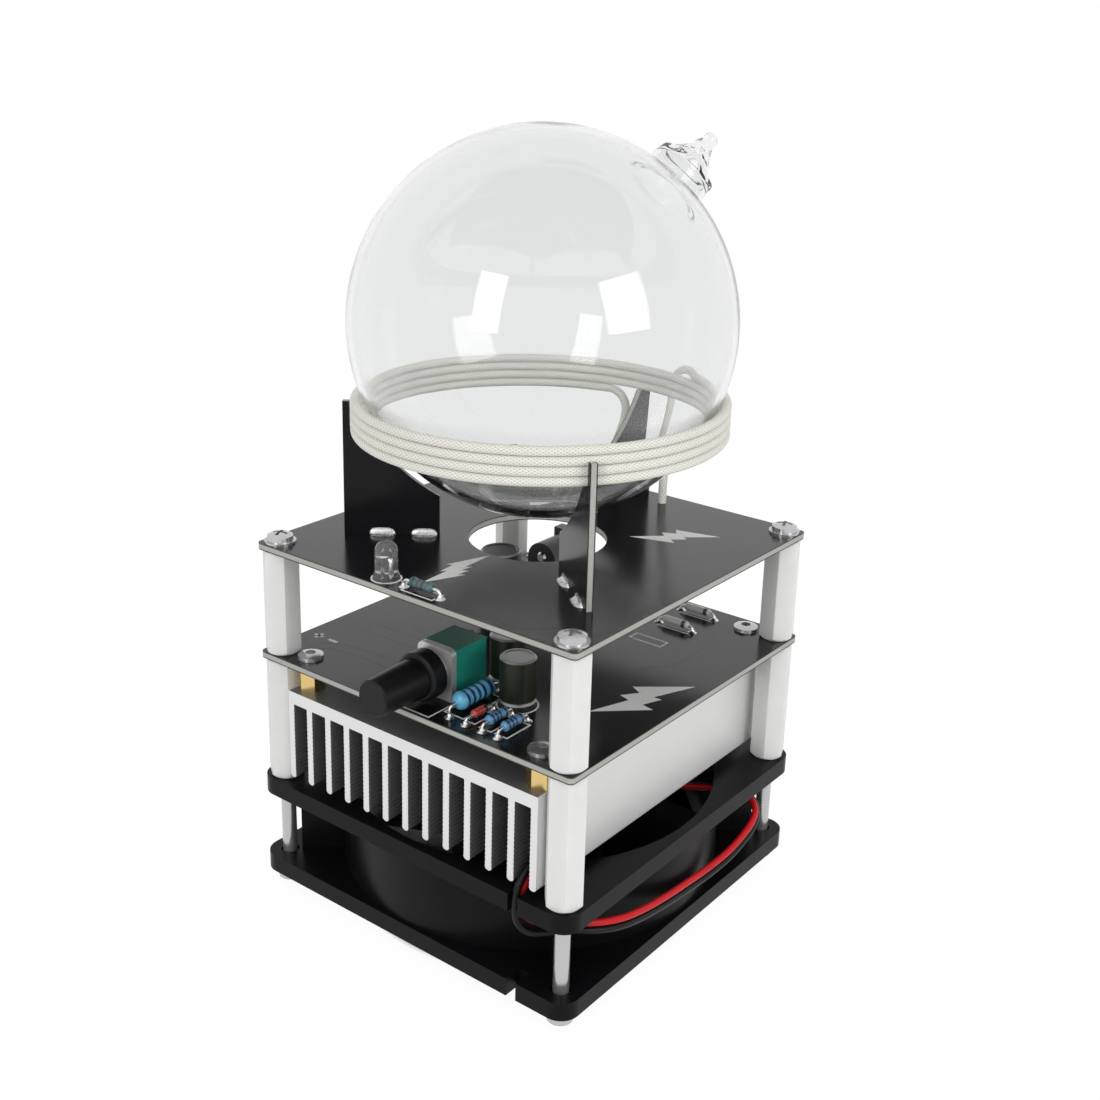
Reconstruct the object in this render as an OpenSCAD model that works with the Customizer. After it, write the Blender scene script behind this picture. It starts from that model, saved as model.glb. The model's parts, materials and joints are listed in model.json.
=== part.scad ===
// Plasma ring lamp: a sealed glass globe sits in a wire coil, over two boards, a heatsink and a fan.
// Millimetres, +Z up. The origin is on the fan's axis, level with the screw heads that the lamp stands on.
// The control knob is at the front (-Y) and the power inlet faces the back (+Y).

/* [Fan] */
// Side of the square fan frame
fan_w = 92; // [91:0.5:95]
// Height of the fan frame
fan_h = 25; // [25:0.5:30]
// Distance between neighbouring corner screws, in the fan and in both boards
hole_pitch = 82.5; // [82:0.1:83]
// Diameter of the corner holes in the fan
fan_hole_d = 4.3; // [4.1:0.1:4.6]
// Thickness of each square flange
flange_t = 4.2; // [3:0.1:4.4]
// Corner radius of the flanges
flange_r = 4.5; // [3.5:0.5:8]
// Wall of the round duct between the flanges
duct_wall = 1.4; // [1.2:0.1:2]
// How far the duct stands in from the frame's sides
duct_inset = 0.8; // [0.5:0.1:1.5]
// Thickness of the web in each corner
web_t = 1.6; // [1.2:0.1:2.2]
// Width of the slot that lets the lead through the flanges
lead_slot_w = 2.6; // [2.4:0.1:3.4]
// Depth of that slot from the frame's front
lead_slot_depth = 4.6; // [4.4:0.1:6]
// Thickness of the plate that carries the motor
hub_plate_t = 2.5; // [2:0.1:3]
// Thickness of the struts from that plate to the duct
strut_t = 1.7; // [1.2:0.1:2]
// Width of those struts
strut_w = 4; // [3:0.5:6]

/* [Fan motor] */
// Outside diameter of the impeller's cup
cup_d = 39; // [38:0.5:42]
// Wall of the impeller's cup
cup_wall = 1.5; // [1.2:0.1:2]
// Height of the impeller's cup
cup_h = 16.6; // [15:0.2:17]
// Number of blades
blade_count = 7; // [5:1:9]
// Thickness of a blade
blade_t = 1.4; // [1:0.1:2]
// Gap between the blade tips and the duct
tip_gap = 0.8; // [0.5:0.1:1.5]
// Diameter of the motor shaft
shaft_d = 3; // [2.5:0.1:3.5]
// Outside diameter of the bearing sleeve
bearing_d = 6; // [5.5:0.1:6.6]
// Outside diameter of the tube that holds the bearing
tube_d = 9; // [8.6:0.1:10]
// Thickness of the magnet ring
magnet_t = 3; // [2:0.1:3.5]
// Gap between the magnet ring and the stator
air_gap = 0.7; // [0.5:0.1:1]
// Height of the stator core
core_h = 8; // [6:0.5:9]

/* [Posts and screws] */
// Length of each lower post
lower_post_h = 30; // [30:1:40]
// Length of each upper post
upper_post_h = 25; // [24:1:35]
// Width of the posts across their flats
post_af = 7.5; // [7:0.1:7.8]
// Nominal diameter of the corner screws
bolt_d = 3.5; // [3.2:0.1:4]
// Head diameter of the corner screws
foot_d = 5.8; // [5.4:0.1:7]
// Head height of the corner screws
foot_h = 3; // [2.4:0.1:3.2]
// How far each corner screw reaches into its post
bolt_reach = 8; // [6:0.5:9]
// Nominal diameter of the top screws
top_screw_d = 3; // [2.5:0.1:3.5]
// Head diameter of the top screws
top_head_d = 6; // [5.4:0.1:6.2]
// Head height of the top screws
top_head_h = 1.9; // [1.6:0.1:2.4]
// Diameter of the washers under the top screws
washer_d = 7.2; // [6.4:0.1:7.4]
// Thickness of those washers
washer_t = 0.5; // [0.4:0.1:0.8]

/* [Boards] */
// Side of both square boards
board_w = 90; // [89:0.5:92]
// Thickness of both boards and of the fins
board_t = 1.6; // [1.2:0.1:2]
// Corner radius of both boards
board_r = 1.2; // [0.6:0.2:4]
// Diameter of the hole in the middle of the upper board
vent_d = 32; // [26:1:36]

/* [Heatsink] */
// Width of the heatsink
sink_w = 73; // [72:0.2:73]
// Length of the heatsink, front to back
sink_l = 89; // [86:0.5:90]
// Thickness of its base
sink_base = 3; // [2.5:0.1:4]
// Height of its fins below the base
sink_fin_h = 19; // [15:0.5:19.5]
// Number of fins
sink_fins = 13; // [9:1:14]
// Thickness of a fin
sink_fin_t = 1.8; // [1.2:0.1:2]
// Length of the brass spacers under the lower board
spacer_h = 6; // [6:0.5:7.5]
// Width of the brass spacers across their flats
spacer_af = 5.5; // [5:0.1:5.6]
// Nominal diameter of the spacer screws
m3_d = 3; // [2.5:0.1:3]
// Head diameter of the spacer screws
m3_head_d = 6; // [5:0.1:6]
// Head height of the spacer screws
m3_head_h = 1.3; // [1.2:0.1:2.4]
// Distance between the spacers across the lamp
spacer_pitch_x = 67.2; // [66:0.1:67.2]
// Distance between the spacers from front to back
spacer_pitch_y = 80; // [78:0.5:82]

/* [Control] */
// Place of the control across the lamp
pot_x = 1; // [-6:0.5:1]
// How far the control's front plate stands behind the board's front edge
pot_setback = 8.8; // [7:0.1:10]
// Width of the control's body
pot_w = 9.8; // [9:0.1:11]
// Depth of the green body
pot_l = 10; // [8:0.5:10]
// Height of the body and the plate
pot_h = 12; // [11:0.5:14]
// Thickness of the front plate
plate_t = 1.6; // [0.8:0.1:2]
// Height of the shaft above the board
pot_axis_h = 6.5; // [6.2:0.1:7]
// Diameter of the control's shaft
pot_shaft_d = 6; // [5:0.1:6]
// Length of the knob
knob_l = 17; // [14:0.5:20]
// Diameter of the knob's tip
knob_tip_d = 8.2; // [8:0.1:9]
// Diameter of the knob where it meets its skirt
knob_root_d = 9; // [8.6:0.1:10]
// Diameter of the knob's skirt
knob_skirt_d = 11; // [10.4:0.1:12]
// Length of the knob's skirt
knob_skirt_l = 4; // [3:0.5:6]

/* [Parts on the boards] */
// Diameter of the large resistor
big_resistor_d = 4.2; // [3.4:0.1:4.4]
// Length of the large resistor
big_resistor_l = 11.5; // [9:0.5:12]
// Diameter of the small resistors
resistor_d = 2.4; // [2:0.1:2.8]
// Length of the small resistors
resistor_l = 6.4; // [5:0.2:6.8]
// Diameter of the diodes
diode_d = 1.9; // [1.6:0.1:2.2]
// Length of the diodes
diode_l = 4.4; // [3.6:0.2:5]
// Diameter of the wire ends of these parts
leg_d = 0.7; // [0.5:0.1:0.8]
// Diameter of the two small capacitors
can_d = 8; // [6.3:0.1:8]
// Height of the two small capacitors
can_h = 11.5; // [9:0.5:13]
// Diameter of the large capacitor
big_can_d = 10; // [8:0.5:12.5]
// Height of the large capacitor
big_can_h = 15; // [12:0.5:16]
// Width of the power inlet
jack_w = 9; // [8.6:0.1:10]
// Length of the power inlet
jack_l = 14.4; // [13:0.1:15]
// Height of the power inlet
jack_h = 11; // [10.6:0.1:12]
// Bore of the power inlet
jack_bore_d = 6.4; // [6:0.1:6.6]
// Depth of that bore
jack_bore_l = 9.5; // [8:0.5:10]
// Centre pin of the power inlet
jack_pin_d = 2; // [1.6:0.1:2.5]
// Diameter of the indicator lamp
led_d = 5; // [3:0.5:5]
// Height of the indicator lamp
led_h = 8.6; // [7:0.2:9]
// Diameter of each wire of the fan's lead
lead_d = 1.6; // [1.2:0.1:1.6]

/* [Globe, coil and fins] */
// Diameter of the glass globe
globe_d = 86; // [84:0.5:87]
// Wall of the globe
globe_wall = 1.8; // [1.2:0.1:2.5]
// Height of the globe's centre above the upper board
globe_lift = 50.1; // [49.5:0.1:52]
// Diameter of the stub where the globe was sealed
stub_d = 15; // [12:0.5:18]
// How much wider the stub is where it leaves the globe
stub_flare = 1.7; // [0.5:0.1:2.5]
// Distance from the globe's centre to the end of the stub
stub_reach = 48.5; // [46:0.1:50]
// Distance from the globe's centre to the sealed tip
tip_reach = 58.4; // [54:0.2:60]
// Direction of the sealed tip, around the axis
tip_turn = 67; // [0:1:180]
// Direction of the sealed tip, above level
tip_rise = 42.5; // [30:0.5:60]
// Thickness of the coil's wire
wire_d = 1.7; // [1.5:0.1:1.8]
// Gap between neighbouring turns
wire_gap = 0.42; // [0.42:0.01:0.6]
// Full turns, of which the last stops short of the fin at the back
coil_turns = 4; // [3:1:4]
// How far the middle of the wire lies inside the globe's radius
coil_inset = 1.7; // [1.5:0.1:2.2]
// Height of the fins
fin_h = 31.3; // [29:0.1:33]
// Distance from the axis to the inner edge of the fins
fin_inner = 22.5; // [20:0.5:26]
// Width of the finger outside the coil
finger_w = 1.5; // [0.8:0.1:1.8]
// Distance from the globe to the curved edge of the fins
fin_clear = 3.5; // [2.5:0.1:5]
// Width of the soldered tabs under the fins
tab_w = 5; // [4:0.2:6]

/* [Clearances] */
// Radial gap of a turning shaft
running_gap = 0.04; // [0.02:0.01:0.08]
// Radial gap of a pressed or glued piece
press_gap = 0.02; // [0.01:0.01:0.04]
// Radial gap of a screw in its thread
thread_gap = 0.05; // [0.03:0.01:0.1]
// Radial gap of a screw through a plate
hole_gap = 0.15; // [0.1:0.01:0.25]
// Gap between pieces that rest on each other along a curve
seat_gap = 0.2; // [0.15:0.01:0.3]

/* [Hidden] */
$fn = 48;

// Corners in order: front left, front right, back right, back left
CORNERS = [[-1, -1], [1, -1], [1, 1], [-1, 1]];

// Levels from the feet up
fan_z = foot_h;
fan_top = fan_z + fan_h;
low_z = fan_top + lower_post_h;
low_top = low_z + board_t;
up_z = low_top + upper_post_h;
up_top = up_z + board_t;
sink_top = low_z - spacer_h;
sink_bottom = sink_top - sink_base - sink_fin_h;
globe_z = up_top + globe_lift;

// Corner screws and board edges
screw_at = hole_pitch / 2;
board_edge = board_w / 2;
head_edge = 0.25;
head_draft = 0.15;
socket_af = 2.2;
post_turns = [-33, -48, -10, -25];
post_end = 0.2;

// Material kept round the screw holes that lie near an edge, a little thinner than its plate
flange_rim = 2.05;
board_rim = 1.2;
spacer_rim = 1.1;
rim_step = 0.1;

// Inside of the fan
duct_r = fan_w / 2 - duct_inset;
bore_r = duct_r - duct_wall;
lead_turn = 38;
lead_slot_x = 31.6;
mount_top = fan_top - 0.3;
motor_z = mount_top - hub_plate_t;
hub_plate_d = cup_d + 1;
tube_end = fan_z + 6;
bearing_top = motor_z - 0.8;
cup_z = fan_z + 1.4;
cup_top = cup_z + cup_h;
shaft_z = cup_z + 1;
blade_top = cup_top + 0.2;
cup_r = cup_d / 2;
magnet_r = cup_r - cup_wall - press_gap;
stator_r = magnet_r - magnet_t - air_gap;
core_z = tube_end + 1;
pole_w = 4;
winding_t = 1.5;
driver_t = 1.2;
driver_r = 17;
clip_t = 0.5;
clip_r = 2.6;
clip_neck = 0.2;
clip_lift = 0.3;
clip_room = 1.4;
web_end = 2.9;
lead_room = 9;

// Screws that hold the transistors, and the transistors themselves
transistor_at = [13, 6];
transistor_w = 10.2;
tab_l = 6.5;
case_l = 9;
tab_t = 1.3;
case_t = 4.4;
pad_t = 0.3;
leg_pitch = 2.54;
leg_run = 2.5;
leg_w = 0.8;

// Control
plate_front = -board_edge + pot_setback;
body_front = plate_front + plate_t;
pot_axis_z = low_top + pot_axis_h;
knob_back = plate_front - 2;
bush_l = 1.6;
shaft_depth = 7;
knob_wall = 1.6;

// Places of the parts on the boards, by eye from the front left of each board
jack_x = -22.8;
jack_front = board_edge + 0.5;
plug_x = 24;
plug_w = 7;
plug_l = 6;
plug_h = 4.6;
leg_lift = 0.5;
large_resistor_at = [10, 11.4 - board_edge];
small_resistor_left_at = [19.2, 8.2 - board_edge];
small_resistor_right_at = [23.4, 8.2 - board_edge];
red_diode_at = [14.7, 7.8 - board_edge];
pale_diode_front_at = [20.2, board_edge - 15.6];
pale_diode_back_at = [20.2, board_edge - 5.6];
capacitor_front_at = [17, 17.6 - board_edge];
capacitor_middle_at = [8, 25 - board_edge];
capacitor_large_at = [24.6 - board_edge, board_edge - 33.5];
indicator_lamp_at = [-8.2, 3.8 - board_edge];
indicator_resistor_at = [2.9, 2.8 - board_edge];
plate_round = 1.6;
leg_hole_d = 1.5;

// Globe, coil and fins
globe_r = globe_d / 2;
wire_r = wire_d / 2;
loop_rings = 24;
coil_r = globe_r - coil_inset;
coil_pitch = wire_d + wire_gap;
coil_start = 103;
coil_stop = 62 + 360 * coil_turns;
chord_r = coil_r * cos(180 / loop_rings);
coil_top = globe_z - sqrt(pow(globe_r + wire_r + seat_gap, 2) - pow(chord_r, 2));
coil_bottom = coil_top - coil_pitch * (coil_stop - coil_start) / 360;
finger_gap = 0.65;
finger_r = coil_r + wire_r + finger_gap;
fin_outer = finger_r + finger_w;

// Left, right and back fin: direction, both tabs from the inner edge, and the face that is soldered
fin_turns = [-142, -38, 90];
fin_tabs = [[1, 10.6], [3.2, 14.2], [3.2, 14.2]];
solder_sides = [1, -1, 1];
solder_l = tab_w - 0.6;
solder_h = 1;
stub_r = stub_d / 2;
bulb_r = 1.7;

// Fan lead: points of the red and the black wire, from the driver board to the plug
RED_ROUTE = [
  [14.2, 9.9, 24.4], [23, 16.8, 23.6], [32, 23.8, 22.7], [37.6, 28.2, 22.3], [40.6, 30.2, 21.7],
  [43.6, 30.8, 20.6], [45.8, 29.2, 19.2], [46.8, 26, 17.8], [47, 22, 16.5], [47, 16, 15.2],
  [46.8, 10, 14.7], [46.6, 4, 14.7], [46.5, -2, 15.1], [46.5, -11, 16], [46.4, -20, 17.4],
  [46.1, -25, 18.4], [45.2, -29.5, 19.4], [43.4, -33.4, 20.2], [41, -36.4, 20.8], [38.8, -38.6, 21],
  [36.4, -40, 20.7], [34.5, -41.15, 20.6], [32.95, -42.1, 21.2], [31.95, -42.75, 22.7], [31.6, -43, 25],
  [31.6, -42.85, 27.4], [31.9, -41.6, 29.7], [32.4, -38.6, 31.3], [32.8, -33.5, 32.4], [32.8, -27, 33.3],
  [32.8, 0, 34.1], [32.8, 30, 34.2], [32.4, 42, 35.2], [31.2, 46.8, 38], [28.6, 49.2, 42.6],
  [25.2, 49.7, 48], [23.4, 49.4, 52.2], [22.8, 48.3, 54.7], [22.75, 46.7, 55.7], [22.75, 45, 55.7]
];
BLACK_ROUTE = [
  [13, 11.5, 24.4], [21.8, 18.4, 23.6], [30.8, 25.3, 22.7], [36.4, 29.7, 22.3], [40.2, 32.2, 21.1],
  [43.6, 32.4, 19.3], [45.8, 30, 17.3], [46.8, 26, 15.7], [47, 22, 14.5], [47, 16, 13.3],
  [46.8, 10, 12.8], [46.6, 4, 12.8], [46.5, -2, 13.2], [46.5, -11, 14.1], [46.4, -20, 15.5],
  [46.1, -25, 16.5], [45.2, -29.5, 17.5], [43.4, -33.4, 18.3], [41, -36.4, 18.8], [38.8, -38.8, 18.8],
  [36.6, -40.8, 18.6], [34.5, -42.6, 18.6], [33, -43.8, 19.4], [32, -44.6, 21], [31.6, -44.9, 23.4],
  [31.6, -44.85, 26.6], [31.7, -44.3, 29.4], [32.1, -42.3, 32.2], [32.6, -38.4, 34.3], [32.8, -31, 35.3],
  [32.8, 0, 36], [32.8, 30, 36.2], [32.6, 41, 37.2], [31.8, 46.2, 39.6], [30, 49, 44],
  [27.4, 49.6, 48.6], [25.9, 49.4, 52.2], [25.3, 48.3, 54.7], [25.25, 46.7, 55.7], [25.25, 45, 55.7]
];

// Shapes that several pieces share

// Flat square plate with round corners
module plate(w, t, r) {
  translate([-w / 2, -w / 2 + r, 0]) cube([w, w - 2 * r, t]);
  translate([-w / 2 + r, -w / 2, 0]) cube([w - 2 * r, w, t]);
  for (c = CORNERS) translate([c.x * (w / 2 - r), c.y * (w / 2 - r), 0]) cylinder(r = r, h = t);
}

// Copies at the four corner screws
module at_screws() {
  for (c = CORNERS) translate([c.x * screw_at, c.y * screw_at, 0]) children();
}

// Copies at the four brass spacers
module at_spacers() {
  for (c = CORNERS) translate([c.x * spacer_pitch_x / 2, c.y * spacer_pitch_y / 2, 0]) children();
}

// Rim round one hole of a plate that is t thick
module rim(hole_d, w, t) {
  translate([0, 0, rim_step]) cylinder(d = hole_d + 2 * w, h = t - 2 * rim_step);
}

// Hexagonal bar by its width across flats
module hex_bar(af, h) {
  cylinder(d = af / cos(30), h = h, $fn = 6);
}

// Cross recess, cut downwards from z = 0
module cross_recess(d, depth) {
  w = d / 5;
  translate([-d / 2, -w / 2, -depth]) cube([d, w, depth + 1]);
  translate([-w / 2, -d / 2, -depth]) cube([w, d, depth + 1]);
}

// Screw with a domed head upwards from z = 0 and its shank downwards
module domed_screw(d, head_d, head_h, reach) {
  crown = head_h * 0.45;
  ball_r = (pow(head_d / 2, 2) + pow(crown, 2)) / (2 * crown);
  translate([0, 0, -reach]) cylinder(d = d, h = reach + 0.5);
  intersection() {
    cylinder(d1 = head_d, d2 = head_d - 2 * head_draft, h = head_h);
    translate([0, 0, head_h - ball_r]) sphere(r = ball_r);
  }
}

// The same with a cross recess
module pan_screw(d, head_d, head_h, reach) difference() {
  domed_screw(d, head_d, head_h, reach);
  translate([0, 0, head_h]) cross_recess(head_d * 0.6, head_h * 0.6);
}

// The same with a hexagonal socket
module socket_screw(d, head_d, head_h, reach) difference() {
  domed_screw(d, head_d, head_h, reach);
  translate([0, 0, head_h * 0.2]) hex_bar(socket_af, head_h);
}

// Screw with a flat head downwards from z = 0, which the lamp stands on, and its shank upwards
module foot_screw(d, head_d, head_h, reach) {
  cylinder(d = d, h = reach);
  translate([0, 0, head_edge - head_h]) cylinder(d = head_d, h = head_h - head_edge);
  translate([0, 0, -head_h]) cylinder(d1 = head_d - 2 * head_edge, d2 = head_d, h = head_edge);
}

// Part with a round body between two bent wire ends, along X, standing on z = 0
module axial_part(d, l, span) {
  axis_h = d / 2 + leg_lift;
  translate([-l / 2, 0, axis_h]) rotate([0, 90, 0]) cylinder(d = d, h = l);
  translate([-span / 2, 0, axis_h]) rotate([0, 90, 0]) cylinder(d = leg_d, h = span, $fn = 16);
  for (s = [-1, 1]) translate([s * span / 2, 0, 0]) {
    cylinder(d = leg_d, h = axis_h, $fn = 16);
    translate([0, 0, axis_h]) sphere(d = leg_d, $fn = 16);
  }
}

// Electrolytic can with a groove near its foot and a dished top
module can(d, h) {
  groove = 0.4;
  rotate_extrude() polygon([
    [0, 0], [d / 2, 0], [d / 2, 1.2], [d / 2 - groove, 1.6], [d / 2, 2], [d / 2, h - groove],
    [d / 2 - groove, h], [d / 2 - 2 * groove, h], [d / 2 - 2.5 * groove, h - groove / 2],
    [0, h - groove / 2]
  ]);
}

// Vectors and swept tubes

function unit(v) = v / norm(v);
function polar(turn, r, z) = [r * cos(turn), r * sin(turn), z];
function tangents(p) = [
  for (i = [0 : len(p) - 1]) unit(p[min(i + 1, len(p) - 1)] - p[max(i - 1, 0)])
];
function square_to(v, t) = unit(v - (v * t) * t);
function carried(t, first) = [
  for (i = 0, n = square_to(first, t[0]); i < len(t);
       i = i + 1, n = i < len(t) ? square_to(n, t[i]) : n) n
];
function ring(p, t, n, r, sides) = [
  for (k = [0 : sides - 1]) let (a = 360 * (k + 0.5) / sides) p + r * (cos(a) * n + sin(a) * cross(t, n))
];

// One closed tube along points p, with n the direction of each ring's first side
module tube(p, n, r, sides) {
  t = tangents(p);
  points = [for (i = [0 : len(p) - 1]) each ring(p[i], t[i], n[i], r, sides)];
  last = (len(p) - 1) * sides;
  walls = [
    for (i = [0 : len(p) - 2], k = [0 : sides - 1])
      let (a = i * sides + k, b = i * sides + (k + 1) % sides)
        each [[a, b + sides, b], [a, a + sides, b + sides]]
  ];
  near = [for (k = [1 : sides - 2]) [0, k, k + 1]];
  far = [for (k = [1 : sides - 2]) [last, last + k + 1, last + k]];
  polyhedron(points, concat(walls, near, far));
}

// Fan

module fan_frame() color([0.07, 0.07, 0.08]) {
  difference() {
    union() {
      for (z = [fan_z, fan_top - flange_t]) translate([0, 0, z]) {
        plate(fan_w, flange_t, flange_r);
        at_screws() rim(fan_hole_d, flange_rim, flange_t);
      }
      translate([0, 0, fan_z]) cylinder(r = duct_r, h = fan_h, $fn = 96);
      for (i = [0 : 3]) corner_web(CORNERS[i], i == 1 ? lead_room : 0);
    }
    translate([0, 0, fan_z - 1]) {
      cylinder(r = bore_r, h = fan_h + 2, $fn = 96);
      at_screws() cylinder(d = fan_hole_d, h = fan_h + 2);
    }
    translate([lead_slot_x - lead_slot_w / 2, -fan_w / 2 - 1, fan_z - 1])
      cube([lead_slot_w, lead_slot_depth + 1, fan_h + 2]);
    rotate([0, 0, lead_turn]) translate([bore_r - 1, -2.4, fan_top - flange_t - 2.8])
      cube([duct_wall + 2, 4.8, 2.6]);
  }
}

// Upright web from the duct towards a corner screw, with its top left open for the lead
module corner_web(corner, open_h) {
  from = duct_r - duct_wall / 2;
  to = screw_at * sqrt(2) - web_end;
  rotate([0, 0, atan2(corner.y, corner.x)]) translate([from, -web_t / 2, fan_z + flange_t / 2])
    cube([to - from, web_t, fan_h - flange_t - open_h]);
}

// Plate, struts and bearing tube in the fan's outlet
module fan_motor_mount() color([0.07, 0.07, 0.08]) {
  difference() {
    union() {
      translate([0, 0, motor_z]) cylinder(d = hub_plate_d, h = hub_plate_t);
      translate([0, 0, tube_end]) cylinder(d = tube_d, h = motor_z - tube_end + 0.5);
      intersection() {
        translate([0, 0, mount_top - strut_t]) cylinder(r = bore_r, h = strut_t, $fn = 96);
        for (i = [0 : 3]) rotate([0, 0, lead_turn + 90 * i])
          translate([tube_d, -strut_w / 2, mount_top - strut_t]) cube([bore_r, strut_w, strut_t]);
      }
    }
    translate([0, 0, tube_end - 1])
      cylinder(d = bearing_d + 2 * press_gap, h = bearing_top + clip_room + 1 - tube_end);
  }
}

module fan_impeller() color([0.05, 0.05, 0.06]) {
  boss_top = tube_end - 0.4;
  translate([0, 0, cup_z]) rotate_extrude() polygon([
    [0, 0], [cup_r - 1, 0], [cup_r, 1], [cup_r, cup_h],
    [cup_r - cup_wall, cup_h], [cup_r - cup_wall, cup_wall], [tube_d / 2 - 1, cup_wall],
    [tube_d / 2 - 1, boss_top - cup_z], [shaft_d / 2 + press_gap, boss_top - cup_z],
    [shaft_d / 2 + press_gap, shaft_z - cup_z], [0, shaft_z - cup_z]
  ]);
  for (i = [0 : blade_count - 1]) rotate([0, 0, 360 * i / blade_count]) blade();
}

// Blade: a slice of a tube that lies along the radius, cut to the cup and to the duct
module blade() {
  bend_r = 22;
  blade_back = 4;
  h = blade_top - cup_z - 0.6;
  intersection() {
    translate([0, 0, cup_z + 0.6]) difference() {
      cylinder(r = bore_r - tip_gap, h = h, $fn = 96);
      translate([0, 0, -1]) cylinder(r = cup_r - 0.3, h = h + 2);
    }
    translate([cup_r - 2, -6, cup_z + h + 8]) rotate([0, 90, 0]) difference() {
      cylinder(r = bend_r + blade_t, h = bore_r, $fn = 64);
      translate([0, 0, -1]) cylinder(r = bend_r, h = bore_r + 2, $fn = 64);
    }
    translate([0, -blade_back, 0]) cube([fan_w, bore_r, fan_top]);
  }
}

module fan_magnet() color([0.16, 0.16, 0.17]) translate([0, 0, cup_z + cup_wall]) difference() {
  cylinder(r = magnet_r, h = cup_h - cup_wall - 1);
  translate([0, 0, -1]) cylinder(r = magnet_r - magnet_t, h = cup_h + 1);
}

module fan_shaft() color([0.75, 0.76, 0.78]) difference() {
  translate([0, 0, shaft_z]) cylinder(d = shaft_d, h = bearing_top + clip_room - 0.3 - shaft_z);
  translate([0, 0, bearing_top + clip_lift - press_gap]) difference() {
    cylinder(d = shaft_d + 1, h = clip_t + 2 * press_gap);
    translate([0, 0, -1]) cylinder(d = shaft_d - 2 * clip_neck, h = clip_t + 3);
  }
}

module fan_shaft_clip() color([0.6, 0.6, 0.62]) translate([0, 0, bearing_top + clip_lift]) difference() {
  cylinder(r = clip_r, h = clip_t);
  translate([0, 0, -1]) cylinder(d = shaft_d - 2 * clip_neck + 2 * press_gap, h = clip_t + 2);
}

module fan_bearing() color([0.62, 0.47, 0.26]) translate([0, 0, tube_end]) difference() {
  cylinder(d = bearing_d, h = bearing_top - tube_end);
  translate([0, 0, -1]) cylinder(d = shaft_d + 2 * running_gap, h = bearing_top - tube_end + 2);
}

module fan_stator_core() color([0.45, 0.45, 0.47]) translate([0, 0, core_z]) difference() {
  union() {
    cylinder(d = tube_d + 4, h = core_h);
    for (i = [0 : 1]) rotate([0, 0, 90 * i])
      translate([-stator_r + 0.6, -pole_w / 2, 0]) cube([2 * stator_r - 1.2, pole_w, core_h]);
    difference() {
      cylinder(r = stator_r, h = core_h);
      translate([0, 0, -1]) cylinder(r = stator_r - winding_t, h = core_h + 2);
      for (i = [0 : 1]) rotate([0, 0, 45 + 90 * i]) translate([-stator_r - 1, -1.5, -1])
        cube([2 * stator_r + 2, 3, core_h + 2]);
    }
  }
  translate([0, 0, -1]) cylinder(d = tube_d + 2 * press_gap, h = core_h + 2);
}

module fan_stator_coils() color([0.72, 0.42, 0.2]) for (i = [0 : 3]) rotate([0, 0, 90 * i]) {
  from = tube_d / 2 + 2.2;
  to = sqrt(pow(stator_r - winding_t, 2) - pow(pole_w / 2 + winding_t, 2)) - seat_gap;
  w = pole_w + 2 * press_gap;
  translate([from, 0, core_z]) difference() {
    translate([0, -pole_w / 2 - winding_t, -winding_t])
      cube([to - from, pole_w + 2 * winding_t, core_h + 2 * winding_t]);
    translate([-1, -w / 2, -press_gap]) cube([to - from + 2, w, core_h + 2 * press_gap]);
  }
}

module fan_driver_board() color([0.1, 0.3, 0.16]) translate([0, 0, motor_z - driver_t]) difference() {
  cylinder(r = driver_r, h = driver_t);
  translate([0, 0, -1]) cylinder(d = tube_d + 2 * hole_gap, h = driver_t + 2);
}

module fan_lead_red() color([0.8, 0.05, 0.06])
  tube(RED_ROUTE, carried(tangents(RED_ROUTE), [0, 0, 1]), lead_d / 2, 8);

module fan_lead_black() color([0.05, 0.05, 0.05])
  tube(BLACK_ROUTE, carried(tangents(BLACK_ROUTE), [0, 0, 1]), lead_d / 2, 8);

// The plug slides into the header from the back, and takes both wires
module fan_plug() color([0.92, 0.91, 0.87]) translate([plug_x, board_edge - plug_l, low_z - plug_h]) {
  wall = 0.9;
  translate([-plug_w / 2 + wall + seat_gap, 1.6, wall + seat_gap])
    cube([plug_w - 2 * (wall + seat_gap), plug_l - 1.6, plug_h - 2 * (wall + seat_gap)]);
}

module fan_header() color([0.88, 0.87, 0.83]) translate([plug_x, board_edge - plug_l, low_z - plug_h]) {
  wall = 0.9;
  difference() {
    translate([-plug_w / 2, 0, 0]) cube([plug_w, plug_l - 1, plug_h]);
    translate([-plug_w / 2 + wall, 1.4, wall])
      cube([plug_w - 2 * wall, plug_l, plug_h - 2 * wall]);
  }
}

module fan_screws() color([0.75, 0.76, 0.77])
  translate([0, 0, fan_z]) at_screws() foot_screw(bolt_d, foot_d, foot_h, fan_h + bolt_reach);

// Posts

// Hexagonal bar of one post, turned as it was tightened, with the corners of its lower end cut back
module post_bar(i, h) intersection() {
  rotate([0, 0, post_turns[i]]) hex_bar(post_af, h);
  cylinder(d1 = post_af - 2 * post_end, d2 = post_af + 2 * h, h = h);
}

// Lower post, tapped at both ends
module lower_post(i) color([0.93, 0.93, 0.91])
  translate([CORNERS[i].x * screw_at, CORNERS[i].y * screw_at, fan_top]) difference() {
    post_bar(i, lower_post_h);
    for (z = [-1, lower_post_h - bolt_reach - 1])
      translate([0, 0, z]) cylinder(d = bolt_d + 2 * thread_gap, h = bolt_reach + 2);
  }

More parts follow.
